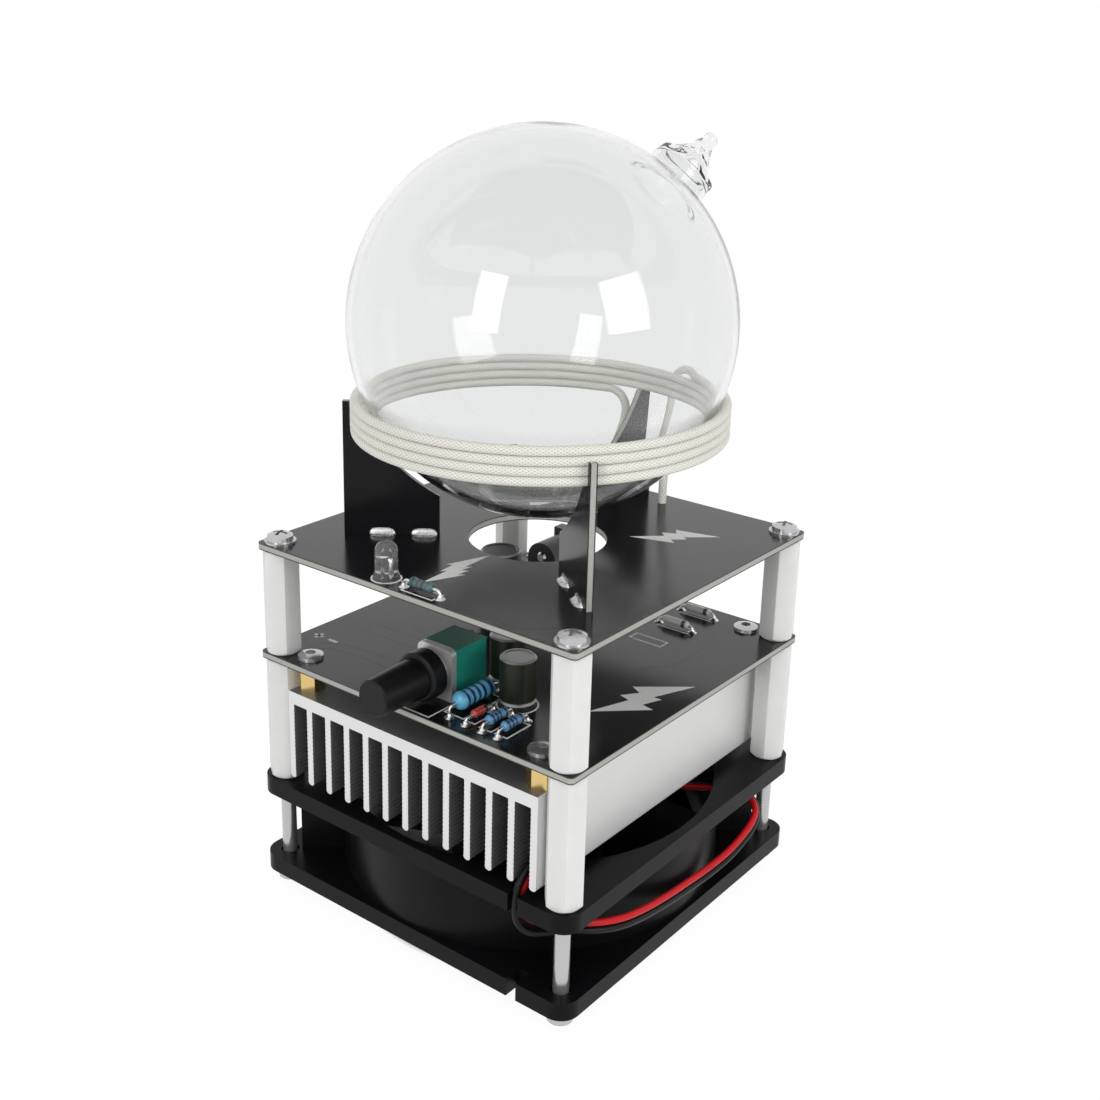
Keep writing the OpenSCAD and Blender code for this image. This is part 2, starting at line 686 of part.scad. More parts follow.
// Upper post, with a stud below that goes through the lower board and a thread for the top screw
module upper_post(i) color([0.93, 0.93, 0.91])
  translate([CORNERS[i].x * screw_at, CORNERS[i].y * screw_at, low_top]) difference() {
    union() {
      post_bar(i, upper_post_h);
      translate([0, 0, -bolt_reach]) cylinder(d = bolt_d, h = bolt_reach + 1);
    }
    translate([0, 0, upper_post_h - bolt_reach - 1])
      cylinder(d = top_screw_d + 2 * thread_gap, h = bolt_reach + 2);
  }

// Heatsink and what is fixed to it

module heatsink() color([0.86, 0.86, 0.87]) difference() {
  union() {
    translate([-sink_w / 2, -sink_l / 2, sink_top - sink_base]) cube([sink_w, sink_l, sink_base]);
    translate([0, 0, sink_top - sink_base]) at_spacers() rim(m3_d, spacer_rim, sink_base);
    for (i = [0 : sink_fins - 1])
      translate([-sink_w / 2 + i * (sink_w - sink_fin_t) / (sink_fins - 1), -sink_l / 2, sink_bottom])
        cube([sink_fin_t, sink_l, sink_fin_h + 0.5]);
  }
  translate([0, 0, sink_top - sink_base - 0.5])
    at_spacers() cylinder(d = m3_d + 2 * thread_gap, h = sink_base + 1);
  for (s = [-1, 1]) translate([s * transistor_at.x, transistor_at.y + tab_l / 2, sink_top - sink_base + 0.4])
    cylinder(d = m3_d + 2 * thread_gap, h = sink_base);
}

// Brass spacers, tapped above and with a stud below
module brass_spacers() color([0.78, 0.62, 0.28]) translate([0, 0, sink_top]) at_spacers() difference() {
  union() {
    rotate([0, 0, 30]) hex_bar(spacer_af, spacer_h);
    translate([0, 0, -sink_base + 0.3]) cylinder(d = m3_d, h = sink_base);
  }
  translate([0, 0, 1]) cylinder(d = m3_d + 2 * thread_gap, h = spacer_h);
}

module spacer_screws() color([0.78, 0.78, 0.79])
  translate([0, 0, low_top]) at_spacers() socket_screw(m3_d, m3_head_d, m3_head_h, board_t + spacer_h - 2);

// Transistor on its back: metal tab, black case and three legs bent up through the board
module transistor(side) color([0.08, 0.08, 0.09])
  translate([side * transistor_at.x, transistor_at.y, sink_top + pad_t]) {
    difference() {
      translate([-transistor_w / 2, 0, 0]) cube([transistor_w, tab_l, tab_t]);
      translate([0, tab_l / 2, -1]) cylinder(d = m3_d + 2 * hole_gap, h = tab_t + 2);
    }
    translate([-transistor_w / 2, -case_l, 0]) cube([transistor_w, case_l, case_t]);
    for (i = [-1 : 1]) translate([i * leg_pitch - leg_w / 2, -case_l - leg_run, case_t / 2]) {
      cube([leg_w, leg_run + 1, leg_d]);
      cube([leg_w, leg_d, low_top - sink_top - pad_t - case_t / 2]);
    }
  }

module insulating_pad(side) color([0.7, 0.72, 0.74])
  translate([side * transistor_at.x, transistor_at.y, sink_top]) difference() {
    translate([-transistor_w / 2 - 0.5, -case_l - 0.5, 0])
      cube([transistor_w + 1, case_l + tab_l + 1, pad_t]);
    translate([0, tab_l / 2, -1]) cylinder(d = m3_d + 2 * hole_gap, h = pad_t + 2);
  }

module transistor_screws() color([0.78, 0.78, 0.79]) for (s = [-1, 1])
  translate([s * transistor_at.x, transistor_at.y + tab_l / 2, sink_top + pad_t + tab_t])
    pan_screw(m3_d, m3_head_d, m3_head_h, tab_t + pad_t + 2.2);

// Lower board and its parts

module lower_board() color([0.08, 0.08, 0.09]) translate([0, 0, low_z]) difference() {
  union() {
    plate(board_w, board_t, board_r);
    at_screws() rim(bolt_d, board_rim, board_t);
    at_spacers() rim(m3_d, spacer_rim, board_t);
  }
  translate([0, 0, -1]) {
    at_screws() cylinder(d = bolt_d + 2 * hole_gap, h = board_t + 2);
    at_spacers() cylinder(d = m3_d + 2 * hole_gap, h = board_t + 2);
    for (s = [-1, 1], i = [-1 : 1])
      translate([s * transistor_at.x + i * leg_pitch, transistor_at.y - case_l - leg_run + leg_d / 2, 0])
        cylinder(d = leg_hole_d, h = board_t + 2, $fn = 24);
  }
}

module potentiometer_body() color([0.05, 0.5, 0.4]) difference() {
  translate([pot_x - pot_w / 2 + 0.2, body_front, low_top]) cube([pot_w - 0.4, pot_l, pot_h - 0.4]);
  translate([pot_x, body_front - 1, pot_axis_z]) rotate([-90, 0, 0])
    cylinder(d = pot_shaft_d + 2 * running_gap, h = shaft_depth + 1.3);
}

module potentiometer_plate() color([0.72, 0.72, 0.71]) difference() {
  union() {
    translate([pot_x - pot_w / 2, plate_front, low_top]) {
      cube([pot_w, plate_t, pot_h - plate_round]);
      translate([plate_round, 0, 0]) cube([pot_w - 2 * plate_round, plate_t, pot_h]);
      for (x = [plate_round, pot_w - plate_round]) translate([x, 0, pot_h - plate_round])
        rotate([-90, 0, 0]) cylinder(r = plate_round, h = plate_t);
    }
    translate([pot_x, plate_front + 0.3, pot_axis_z]) rotate([90, 0, 0]) cylinder(d = 7.4, h = bush_l + 0.3);
  }
  translate([pot_x, plate_front + plate_t + 1, pot_axis_z]) rotate([90, 0, 0])
    cylinder(d = pot_shaft_d + 2 * running_gap, h = plate_t + bush_l + 2);
}

module potentiometer_shaft() color([0.8, 0.8, 0.8])
  translate([pot_x, body_front + shaft_depth, pot_axis_z]) rotate([90, 0, 0])
    cylinder(d = pot_shaft_d, h = body_front + shaft_depth - knob_back + knob_l - knob_wall - 0.5);

module knob() color([0.06, 0.06, 0.06]) translate([pot_x, knob_back, pot_axis_z]) rotate([90, 0, 0])
  difference() {
    rotate_extrude() polygon([
      [0, 0], [knob_skirt_d / 2, 0], [knob_skirt_d / 2, knob_skirt_l - 0.5],
      [knob_skirt_d / 2 - 0.5, knob_skirt_l], [knob_root_d / 2, knob_skirt_l],
      [knob_tip_d / 2, knob_l - 0.4], [knob_tip_d / 2 - 0.4, knob_l], [0, knob_l]
    ]);
    translate([0, 0, -1]) cylinder(d = pot_shaft_d + 2 * press_gap, h = knob_l - knob_wall + 1);
  }

module large_resistor() color([0.25, 0.6, 0.8])
  translate([large_resistor_at.x, large_resistor_at.y, low_top]) rotate([0, 0, 90])
    axial_part(big_resistor_d, big_resistor_l, big_resistor_l + 4.1);

module small_resistor(at) color([0.2, 0.42, 0.66])
  translate([at.x, at.y, low_top]) rotate([0, 0, 90]) axial_part(resistor_d, resistor_l, resistor_l + 3.2);

module red_diode() color([0.75, 0.1, 0.1])
  translate([red_diode_at.x, red_diode_at.y, low_top]) rotate([0, 0, 90])
    axial_part(diode_d, diode_l, diode_l + 4.6);

module pale_diode(at) color([0.75, 0.75, 0.76])
  translate([at.x, at.y, low_top]) axial_part(diode_d, diode_l + 3, diode_l + 5.2);

module capacitor(at, d, h) color([0.1, 0.14, 0.1]) translate([at.x, at.y, low_top]) can(d, h);

// Barrel inlet: square collar at the back, round-topped body behind it
module power_inlet() color([0.05, 0.05, 0.05]) {
  collar_l = 3.4;
  axis_z = low_top + jack_h - jack_w / 2;
  difference() {
    union() {
      translate([jack_x - jack_w / 2, jack_front - collar_l, low_top]) cube([jack_w, collar_l, jack_h]);
      translate([jack_x, jack_front - jack_l, axis_z - 0.6]) rotate([-90, 0, 0])
        cylinder(d = jack_w, h = jack_l - 1);
      translate([jack_x - jack_w / 2, jack_front - jack_l, low_top])
        cube([jack_w, jack_l - 1, jack_h - jack_w / 2 - 0.6]);
    }
    translate([jack_x, jack_front - jack_bore_l, axis_z]) rotate([-90, 0, 0])
      cylinder(d = jack_bore_d, h = jack_bore_l + 1);
    translate([jack_x, jack_front - jack_l - 1, axis_z]) rotate([-90, 0, 0])
      cylinder(d = jack_pin_d + 2 * press_gap, h = jack_l);
  }
}

// Centre contact, riveted at the rear of the inlet
module power_inlet_pin() color([0.8, 0.8, 0.78])
  translate([jack_x, jack_front, low_top + jack_h - jack_w / 2]) rotate([90, 0, 0]) {
    translate([0, 0, 0.8]) cylinder(d = jack_pin_d, h = jack_l - 0.8);
    translate([0, 0, jack_l]) cylinder(d1 = jack_pin_d + 1, d2 = jack_pin_d, h = 0.5);
  }

// Upper board and its parts

module upper_board() color([0.08, 0.08, 0.09]) difference() {
  translate([0, 0, up_z]) {
    plate(board_w, board_t, board_r);
    at_screws() rim(top_screw_d, board_rim, board_t);
  }
  translate([0, 0, up_z - 1]) {
    cylinder(d = vent_d, h = board_t + 2, $fn = 96);
    at_screws() cylinder(d = top_screw_d + 2 * hole_gap, h = board_t + 2);
    for (i = [0 : 2], r = fin_tabs[i]) rotate([0, 0, fin_turns[i]])
      translate([fin_inner + r - hole_gap, -board_t / 2 - hole_gap, 0])
        cube([tab_w + 2 * hole_gap, board_t + 2 * hole_gap, board_t + 2]);
  }
}

module upper_washers() color([0.78, 0.78, 0.79]) translate([0, 0, up_top]) at_screws() difference() {
  cylinder(d = washer_d, h = washer_t);
  translate([0, 0, -1]) cylinder(d = top_screw_d + 2 * hole_gap, h = washer_t + 2);
}

module upper_screws() color([0.8, 0.8, 0.81]) translate([0, 0, up_top + washer_t])
  at_screws() rotate([0, 0, 20])
    pan_screw(top_screw_d, top_head_d, top_head_h, washer_t + board_t + bolt_reach - 2);

// Upright fin: its edge follows the globe, with a shelf under the coil and a finger outside it
function shelf_z(turn) =
  coil_bottom + coil_pitch * ((turn - coil_start + 720) % 360) / 360 - wire_r - seat_gap;
module fin(i) color([0.06, 0.06, 0.07])
  rotate([0, 0, fin_turns[i]]) rotate([90, 0, 0]) translate([0, 0, -board_t / 2]) linear_extrude(board_t) {
    difference() {
      translate([fin_inner, up_top]) square([fin_outer - fin_inner, fin_h]);
      translate([0, globe_z]) circle(r = globe_r + fin_clear, $fn = 96);
      translate([0, shelf_z(fin_turns[i])]) square([finger_r, globe_r]);
    }
    for (r = fin_tabs[i]) translate([fin_inner + r, up_z]) square([tab_w, board_t + 0.5]);
  }

// Solder along one face of each tab
module fin_solder() color([0.8, 0.8, 0.8])
  for (i = [0 : 2], r = fin_tabs[i]) let (s = solder_sides[i]) rotate([0, 0, fin_turns[i]])
    translate([fin_inner + r + (tab_w - solder_l) / 2, s * board_t / 2, up_top]) rotate([90, 0, 90])
      linear_extrude(solder_l) polygon([[0, 0], [s * solder_h, 0], [s * solder_h * 0.4, solder_h * 0.4],
        [0, solder_h]]);

module indicator_lamp() color([0.9, 0.92, 0.93])
  translate([indicator_lamp_at.x, indicator_lamp_at.y, up_top]) {
    rim_h = 1;
    cylinder(d = led_d + 0.8, h = rim_h);
    cylinder(d = led_d, h = led_h - led_d / 2);
    translate([0, 0, led_h - led_d / 2]) sphere(d = led_d);
  }

module indicator_resistor() color([0.3, 0.55, 0.55])
  translate([indicator_resistor_at.x, indicator_resistor_at.y, up_top])
    axial_part(resistor_d, resistor_l, resistor_l + 3.8);

// Coil: one wire that rises from the board, winds round the globe and goes back down outside

function ease(u) = u * u * (3 - 2 * u);
coil_steps = round((coil_stop - coil_start) / 360 * loop_rings);
HELIX = [
  for (i = [0 : coil_steps]) let (u = i / coil_steps)
    polar(coil_start + u * (coil_stop - coil_start), coil_r, coil_bottom + u * (coil_top - coil_bottom))
];

// Wire end: steps out by `out`, turns down, then drifts to pad_r and stands straight on the board.
// side is -1 where it leaves against the winding, 1 where it goes on with it.
lead_bend = 5;
lead_rise = 3;
function wire_end(turn, z, side, out, pad_r) =
  let (
    ramp_l = 7 * min(1, out),
    r = coil_r + out,
    per_mm = side * 180 / (PI * coil_r),
    down_turn = turn + per_mm * (ramp_l + lead_bend),
    low = z - lead_bend,
    foot = up_top + lead_rise
  )
  concat(
    out > 0 ? [for (i = [1 : 4]) polar(turn + per_mm * ramp_l * i / 4, coil_r + out * ease(i / 4), z)] : [],
    [for (i = [1 : 4]) polar(turn + per_mm * (ramp_l + lead_bend * sin(i * 22.5)), r,
                             z - lead_bend * (1 - cos(i * 22.5)))],
    [for (i = [1 : 6]) polar(down_turn, r + (pad_r - r) * ease(i / 6), low + (foot - low) * i / 6)],
    [polar(down_turn, pad_r, up_top)]
  );
function backwards(p) = [for (i = [len(p) - 1 : -1 : 0]) p[i]];
COIL_PATH = concat(
  backwards(wire_end(coil_start, coil_bottom, -1, 0, coil_r - 9)),
  HELIX,
  wire_end(coil_stop, coil_top, 1, coil_pitch + 0.4, coil_r - 1)
);
function outward(p) = [for (q = p) unit([q.x, q.y, 0])];

// Least gap of the wire to itself, between points at least half a turn apart along it
coil_self_gap = min([
  for (i = [0 : len(COIL_PATH) - 1], j = [i + 1 : 1 : len(COIL_PATH) - 1])
    if (j - i > loop_rings / 2) norm(COIL_PATH[i] - COIL_PATH[j])
]) - wire_d;
echo(coil_self_gap = coil_self_gap);

module coil() color([0.93, 0.93, 0.88]) {
  t = tangents(COIL_PATH);
  out = outward(COIL_PATH);
  tube(COIL_PATH, [for (i = [0 : len(t) - 1]) square_to(out[i], t[i])], wire_r, 6);
}

// Globe: thin sealed shell with a flared stub, drawn to a tip that ends in a small bulb
module globe() color([0.9, 0.93, 0.95, 0.4]) translate([0, 0, globe_z])
  rotate([0, 90 - tip_rise, tip_turn]) difference() {
    base_r = stub_r + stub_flare;
    base_z = sqrt(pow(globe_r - globe_wall / 2, 2) - pow(base_r, 2));
    drawn_l = tip_reach - stub_reach;
    union() {
      sphere(r = globe_r, $fn = 96);
      rotate_extrude() polygon([
        [0, base_z], [base_r, base_z], [stub_r + stub_flare * 0.4, globe_r + 0.6],
        [stub_r, stub_reach - 1], [stub_r, stub_reach], [stub_r * 0.62, stub_reach + drawn_l * 0.26],
        [stub_r * 0.36, stub_reach + drawn_l * 0.5], [bulb_r, tip_reach - 2 * bulb_r],
        [bulb_r, tip_reach - bulb_r], [bulb_r * 0.6, tip_reach - 0.4], [0, tip_reach]
      ]);
    }
    sphere(r = globe_r - globe_wall, $fn = 96);
  }

fan_frame();
fan_motor_mount();
fan_impeller();
fan_magnet();
fan_shaft();
fan_shaft_clip();
fan_bearing();
fan_stator_core();
fan_stator_coils();
fan_driver_board();
fan_lead_red();
fan_lead_black();
fan_plug();
fan_header();
fan_screws();
lower_post(0);  // lower_post_front_left
lower_post(1);  // lower_post_front_right
lower_post(2);  // lower_post_back_right
lower_post(3);  // lower_post_back_left
heatsink();
brass_spacers();
spacer_screws();
transistor(-1);  // transistor_left
transistor(1);  // transistor_right
insulating_pad(-1);  // insulating_pad_left
insulating_pad(1);  // insulating_pad_right
transistor_screws();
lower_board();
potentiometer_body();
potentiometer_plate();
potentiometer_shaft();
knob();
large_resistor();
small_resistor(small_resistor_left_at);  // small_resistor_left
small_resistor(small_resistor_right_at);  // small_resistor_right
red_diode();
pale_diode(pale_diode_front_at);  // pale_diode_front
pale_diode(pale_diode_back_at);  // pale_diode_back
capacitor(capacitor_front_at, can_d, can_h);  // capacitor_front
capacitor(capacitor_middle_at, can_d, can_h);  // capacitor_middle
capacitor(capacitor_large_at, big_can_d, big_can_h);  // capacitor_large
power_inlet();
power_inlet_pin();
upper_post(0);  // upper_post_front_left
upper_post(1);  // upper_post_front_right
upper_post(2);  // upper_post_back_right
upper_post(3);  // upper_post_back_left
upper_board();
upper_screws();
upper_washers();
fin(0);  // fin_left
fin(1);  // fin_right
fin(2);  // fin_back
fin_solder();
indicator_lamp();
indicator_resistor();
coil();
globe();
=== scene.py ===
"""Plasma ring lamp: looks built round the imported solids.

Lengths in this file are millimetres until a mesh is made, apart from those of the light and the floor."""
import json
import math

import bmesh
import bpy
import numpy as np
from mathutils import Matrix, Vector


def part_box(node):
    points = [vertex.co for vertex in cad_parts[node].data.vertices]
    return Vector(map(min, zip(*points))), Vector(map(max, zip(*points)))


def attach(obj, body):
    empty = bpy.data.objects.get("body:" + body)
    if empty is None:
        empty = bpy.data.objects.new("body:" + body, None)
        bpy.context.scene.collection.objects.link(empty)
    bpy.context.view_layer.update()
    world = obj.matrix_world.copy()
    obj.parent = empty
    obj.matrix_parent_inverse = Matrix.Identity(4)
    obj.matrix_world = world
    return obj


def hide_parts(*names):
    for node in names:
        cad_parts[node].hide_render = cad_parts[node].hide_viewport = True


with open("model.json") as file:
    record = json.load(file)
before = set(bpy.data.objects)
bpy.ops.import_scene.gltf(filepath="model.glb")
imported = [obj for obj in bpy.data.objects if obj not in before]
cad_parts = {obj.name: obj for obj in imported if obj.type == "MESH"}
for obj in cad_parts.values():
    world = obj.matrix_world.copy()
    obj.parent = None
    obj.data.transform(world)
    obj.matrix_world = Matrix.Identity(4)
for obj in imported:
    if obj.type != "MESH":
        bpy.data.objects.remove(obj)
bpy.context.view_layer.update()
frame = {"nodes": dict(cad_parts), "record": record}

MM = 0.001
TAU = 2 * math.pi


def box(node):
    """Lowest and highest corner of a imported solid."""
    return [np.array(corner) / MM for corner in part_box(node)]


LOW_TOP = box("lower_board")[1][2]
UP_TOP = box("upper_board")[1][2]
HALF_BOARD = 0.8
GLOBE_R = -box("globe")[0][0]
GLOBE_Z = box("globe")[0][2] + GLOBE_R


# Camera

PHOTO_SIDE = 1100
FOCAL = 1446.35
RAISED = -80
VIEW_TURN, VIEW_RISE, VIEW_ROLL = 37.523, 17.728, 1.541
VIEW_FAR = 327.98
TARGET_ASIDE, TARGET_HIGH = 2.429, 102.348


def place_camera():
    """The camera stands behind its target along `back`, is rolled slightly, and is raised by a small shift.
    Focal length and shift are in pixels of the photograph, angles in degrees."""
    turn, rise, roll = (math.radians(v) for v in (VIEW_TURN, VIEW_RISE, VIEW_ROLL))
    right = Vector((math.cos(turn), math.sin(turn), 0))
    back = Vector((math.sin(turn) * math.cos(rise), -math.cos(turn) * math.cos(rise), math.sin(rise)))
    up = back.cross(right)
    target = Vector((0, 0, TARGET_HIGH)) + right * TARGET_ASIDE
    across = right * math.cos(roll) + up * math.sin(roll)
    upward = up * math.cos(roll) - right * math.sin(roll)
    place = Matrix((across, upward, back)).transposed().to_4x4()
    place.translation = (target + back * VIEW_FAR) * MM
    lens = bpy.data.cameras.new("camera")
    lens.sensor_width = 36
    lens.lens = lens.sensor_width * FOCAL / PHOTO_SIDE
    lens.shift_y = RAISED / PHOTO_SIDE
    lens.clip_start = 0.01
    camera = bpy.data.objects.new("camera", lens)
    camera.matrix_world = place
    bpy.context.collection.objects.link(camera)
    bpy.context.scene.camera = camera


place_camera()


# Shader values

class Val:
    """One socket of a node tree. Arithmetic on it adds Math nodes, and node() adds any other node."""

    def __init__(self, tree, socket=None):
        self.tree, self.socket = tree, socket

    def node(self, kind, inputs=None, out=0, **settings):
        """Adds a node: first its settings, then the values or links of its sockets. Returns one output."""
        made = self.tree.nodes.new("ShaderNode" + kind)
        for key, value in settings.items():
            setattr(made, key, value)
        for key, value in (inputs or {}).items():
            if isinstance(value, Val):
                self.tree.links.new(value.socket, made.inputs[key])
            else:
                made.inputs[key].default_value = value
        return Val(self.tree, made.outputs[out])

    def math(self, operation, *others):
        return self.node("Math", dict(enumerate((self,) + others)), operation=operation)

    def __add__(self, other):
        return self.math("ADD", other)

    __radd__ = __add__

    def __sub__(self, other):
        return self.math("SUBTRACT", other)

    def __rsub__(self, other):
        return self.node("Math", {0: other, 1: self}, operation="SUBTRACT")

    def __mul__(self, other):
        return self.math("MULTIPLY", other)

    __rmul__ = __mul__

    def __truediv__(self, other):
        return self.math("DIVIDE", other)

    def __abs__(self):
        return self.math("ABSOLUTE")

    def sin(self):
        return self.math("SINE")

    def high(self, other):
        return self.math("MAXIMUM", other)

    def low(self, other):
        return self.math("MINIMUM", other)

    def step(self, start, end):
        """0 below start, 1 above end, smooth between."""
        return self.node("MapRange", {"Value": self, 1: start, 2: end}, interpolation_type="SMOOTHSTEP")

    def xyz(self):
        split = self.node("SeparateXYZ", {0: self}).socket.node
        return [Val(self.tree, o) for o in split.outputs]

    def noise(self, size, detail=3.0, rough=0.55):
        """Cloud noise of this vector, with lumps of about `size`, from 0 to 1."""
        inputs = {"Vector": self, "Scale": 1 / size, "Detail": detail, "Roughness": rough}
        return self.node("TexNoise", inputs)

    def times(self, factors):
        return self.node("VectorMath", {0: self, 1: factors}, operation="MULTIPLY")

    def blend(self, a, b):
        """Colour a where this value is 0, colour b where it is 1."""
        return self.node("Mix", {0: self, 6: a, 7: b}, out=2, data_type="RGBA")


def rgb(r, g, b):
    return (r, g, b, 1.0)


def finish(name, recipe):
    """A material. recipe(at) gets Object coordinates in mm and returns the sockets of a Principled shader,
    with `bump` for a height in mm."""
    material = bpy.data.materials.new(name)
    material.use_nodes = True
    tree = material.node_tree
    tree.nodes.clear()
    start = Val(tree)
    at = start.node("TexCoord", out="Object").times((1 / MM, 1 / MM, 1 / MM))
    sockets = recipe(at)
    height = sockets.pop("bump", None)
    if height is not None:
        relief = {"Height": height, "Strength": 1.0, "Distance": MM}
        sockets["Normal"] = start.node("Bump", relief, out="Normal")
    shader = start.node("BsdfPrincipled", sockets)
    end = tree.nodes.new("ShaderNodeOutputMaterial")
    tree.links.new(shader.socket, end.inputs["Surface"])
    return material


def facing(at, direction):
    """How squarely a face looks along a direction, from -1 to 1."""
    normal = at.node("NewGeometry", out="Normal")
    return at.node("VectorMath", {0: normal, 1: direction}, out="Value", operation="DOT_PRODUCT")


# Finishes

def shades(colour, dark, light):
    """Two tones of one colour."""
    return rgb(*[c * dark for c in colour]), rgb(*[min(1, c * light) for c in colour])


def moulded(colour, rough=0.42, grain=0.12, depth=0.012, shine=0.5):
    """Moulded plastic: a fine spark-eroded grain, and gloss that varies in soft patches."""
    def recipe(at):
        patch = at.noise(6.0, 2.0)
        return {"Base Color": patch.blend(*shades(colour, 0.8, 1.2)),
                "Roughness": rough + (patch - 0.5) * 0.14,
                "Specular IOR Level": shine, "bump": at.noise(grain, 2.0) * depth}
    return recipe


def plated(colour, rough=0.22, scratch=0.02, metal=1.0):
    """Plated or turned metal: faint fine lines and a little uneven gloss. Less `metal` gives a frosty
    plating."""
    def recipe(at):
        lines = at.times((6, 6, 1.2)).noise(1.0, 3.0)
        patch = at.noise(2.0, 2.0)
        return {"Base Color": patch.blend(*shades(colour, 0.9, 1.0)), "Metallic": metal,
                "Roughness": rough + (patch - 0.4) * 0.16, "bump": lines * scratch * 0.2}
    return recipe


def board(direction, middles, shine):
    """Black solder mask on the faces that look along +-direction, and pale laminate along the middle of the
    cut edges. middles lists how far along the direction the middle of such a board lies."""
    def recipe(at):
        face = abs(facing(at, direction)).step(0.6, 0.8)
        depth = at.node("VectorMath", {0: at, 1: direction}, out="Value", operation="DOT_PRODUCT")
        off = abs(depth - middles[0])
        for middle in middles[1:]:
            off = off.low(abs(depth - middle))
        core = 1 - off.step(0.46, 0.66)
        layers = (depth * 22).sin() * 0.5 + 0.5
        fibre = at.noise(0.5, 3.0)
        bare = (fibre * 0.7 + layers * 0.3).blend(rgb(0.32, 0.32, 0.295), rgb(0.54, 0.54, 0.505))
        cloud = at.noise(14.0, 2.0)
        mask = cloud.blend(rgb(0.006, 0.006, 0.007), rgb(0.012, 0.012, 0.014))
        edge = core.blend(rgb(0.02, 0.02, 0.02), bare)
        peel = at.noise(1.1, 2.0) * 0.004 + at.noise(9.0, 1.0) * 0.02
        return {"Base Color": face.blend(edge, mask),
                "Roughness": 0.62 - face * (0.44 - (cloud - 0.5) * 0.08),
                "Specular IOR Level": shine, "bump": peel * face + fibre * 0.05 * (1 - face)}
    return recipe


def nylon(at):
    """Milky nylon: faint drawn lines up the posts and a soft, waxy gloss."""
    lines = at.times((3, 3, 0.05)).noise(1.0, 3.0)
    cloud = at.noise(5.0, 2.0)
    return {"Base Color": cloud.blend(rgb(0.78, 0.78, 0.765), rgb(0.84, 0.84, 0.825)),
            "Roughness": 0.42 + (lines - 0.5) * 0.16, "Subsurface Weight": 0.45,
            "Subsurface Radius": (1.0, 1.0, 0.9), "Subsurface Scale": 0.0025, "bump": lines * 0.015}


def extruded(at):
    """Extruded aluminium: die lines along Y on the long faces, a dark painted shade between the fins and on
    top, bright on both outer sides, with a milled bloom on the sawn ends."""
    sawn = abs(facing(at, (0, 1, 0))).step(0.6, 0.8)
    side = box("heatsink")[1][0]
    outer = abs(at.xyz()[0]).step(side - 0.3, side - 0.1)
    inner = (1 - sawn) * (1 - outer)
    die = at.times((5, 0.02, 5)).noise(1.0, 4.0)
    saw = at.times((0.8, 1, 5)).noise(0.6, 4.0)
    stain = at.noise(9.0, 3.0)
    mixed = stain * 0.5 + die * 0.5
    bright = mixed.blend(rgb(0.74, 0.737, 0.732), rgb(0.83, 0.827, 0.822))
    # Painted shade: all faces but the sawn ends and the two outer sides take this dark colour, between the
    # fins and on the top under the board.
    painted_shade = mixed.blend(rgb(0.13, 0.13, 0.135), rgb(0.22, 0.22, 0.225))
    tone = inner.blend(sawn.blend(bright, rgb(0.82, 0.82, 0.82)), painted_shade)
    return {"Base Color": tone, "Metallic": 0.4, "Roughness": 0.5 + sawn * 0.06 + (stain - 0.5) * 0.1,
            "bump": die * 0.02 * (1 - sawn) + saw * 0.03 * sawn}


def braid(at):
    """Braided sleeve: two families of slanted yarns that pass over and under each other, with loose
    fibres."""
    along, turn, _ = at.node("UVMap", out="UV").xyz()
    x, y = along / 1.15, turn * 9
    one = ((x + y) * TAU).sin() * 0.5 + 0.5
    two = ((x - y) * TAU).sin() * 0.5 + 0.5
    swap = (x * TAU * 2).sin() * 0.25
    yarn = (one + swap).high(two - swap)
    fuzz = at.noise(0.16, 3.0)
    # Painted shade: colour follows the yarns' height, so the low gaps between yarns take the dark olive.
    tone = (yarn * 0.75 + fuzz * 0.25).step(0.25, 0.95)
    return {"Base Color": tone.blend(rgb(0.62, 0.605, 0.52), rgb(0.94, 0.93, 0.87)),
            "Roughness": 0.85 - tone * 0.1, "Sheen Weight": 0.25, "Sheen Roughness": 0.5,
            "bump": yarn * 0.10 + fuzz * 0.05}


def glass(at):
    """Blown glass: faintly grey, with long soft waves and hardly any haze."""
    wave = at.times((1, 1, 0.4)).noise(16.0, 1.0)
    return {"Base Color": rgb(0.885, 0.89, 0.89), "Roughness": at.noise(7.0, 2.0) * 0.01, "IOR": 1.47,
            "Transmission Weight": 1.0, "bump": wave * 0.12}


def clear_resin(at):
    """Clear moulded resin with faint swirls."""
    return {"Base Color": rgb(0.97, 0.975, 0.98), "Roughness": 0.02 + at.noise(1.0, 2.0) * 0.03, "IOR": 1.5,
            "Transmission Weight": 0.94, "bump": at.noise(1.6, 1.0) * 0.02}


def banded(ground, rings):
    """Lacquered body with painted rings. rings lists (place from -1 to 1 along the body, half width,
    colour)."""
    def recipe(at):
        along, _, _ = at.node("UVMap", out="UV").xyz()
        cloud = at.noise(0.8, 2.0)
        tone = cloud.blend(*shades(ground, 0.88, 1.1))
        for place, half, colour in rings:
            edge = abs(along - place) + (cloud - 0.5) * 0.02
            tone = (1 - edge.step(half * 0.85, half)).blend(tone, rgb(*colour))
        return {"Base Color": tone, "Roughness": 0.24 + cloud * 0.1, "Coat Weight": 0.4,
                "Coat Roughness": 0.08, "bump": cloud * 0.03}
    return recipe


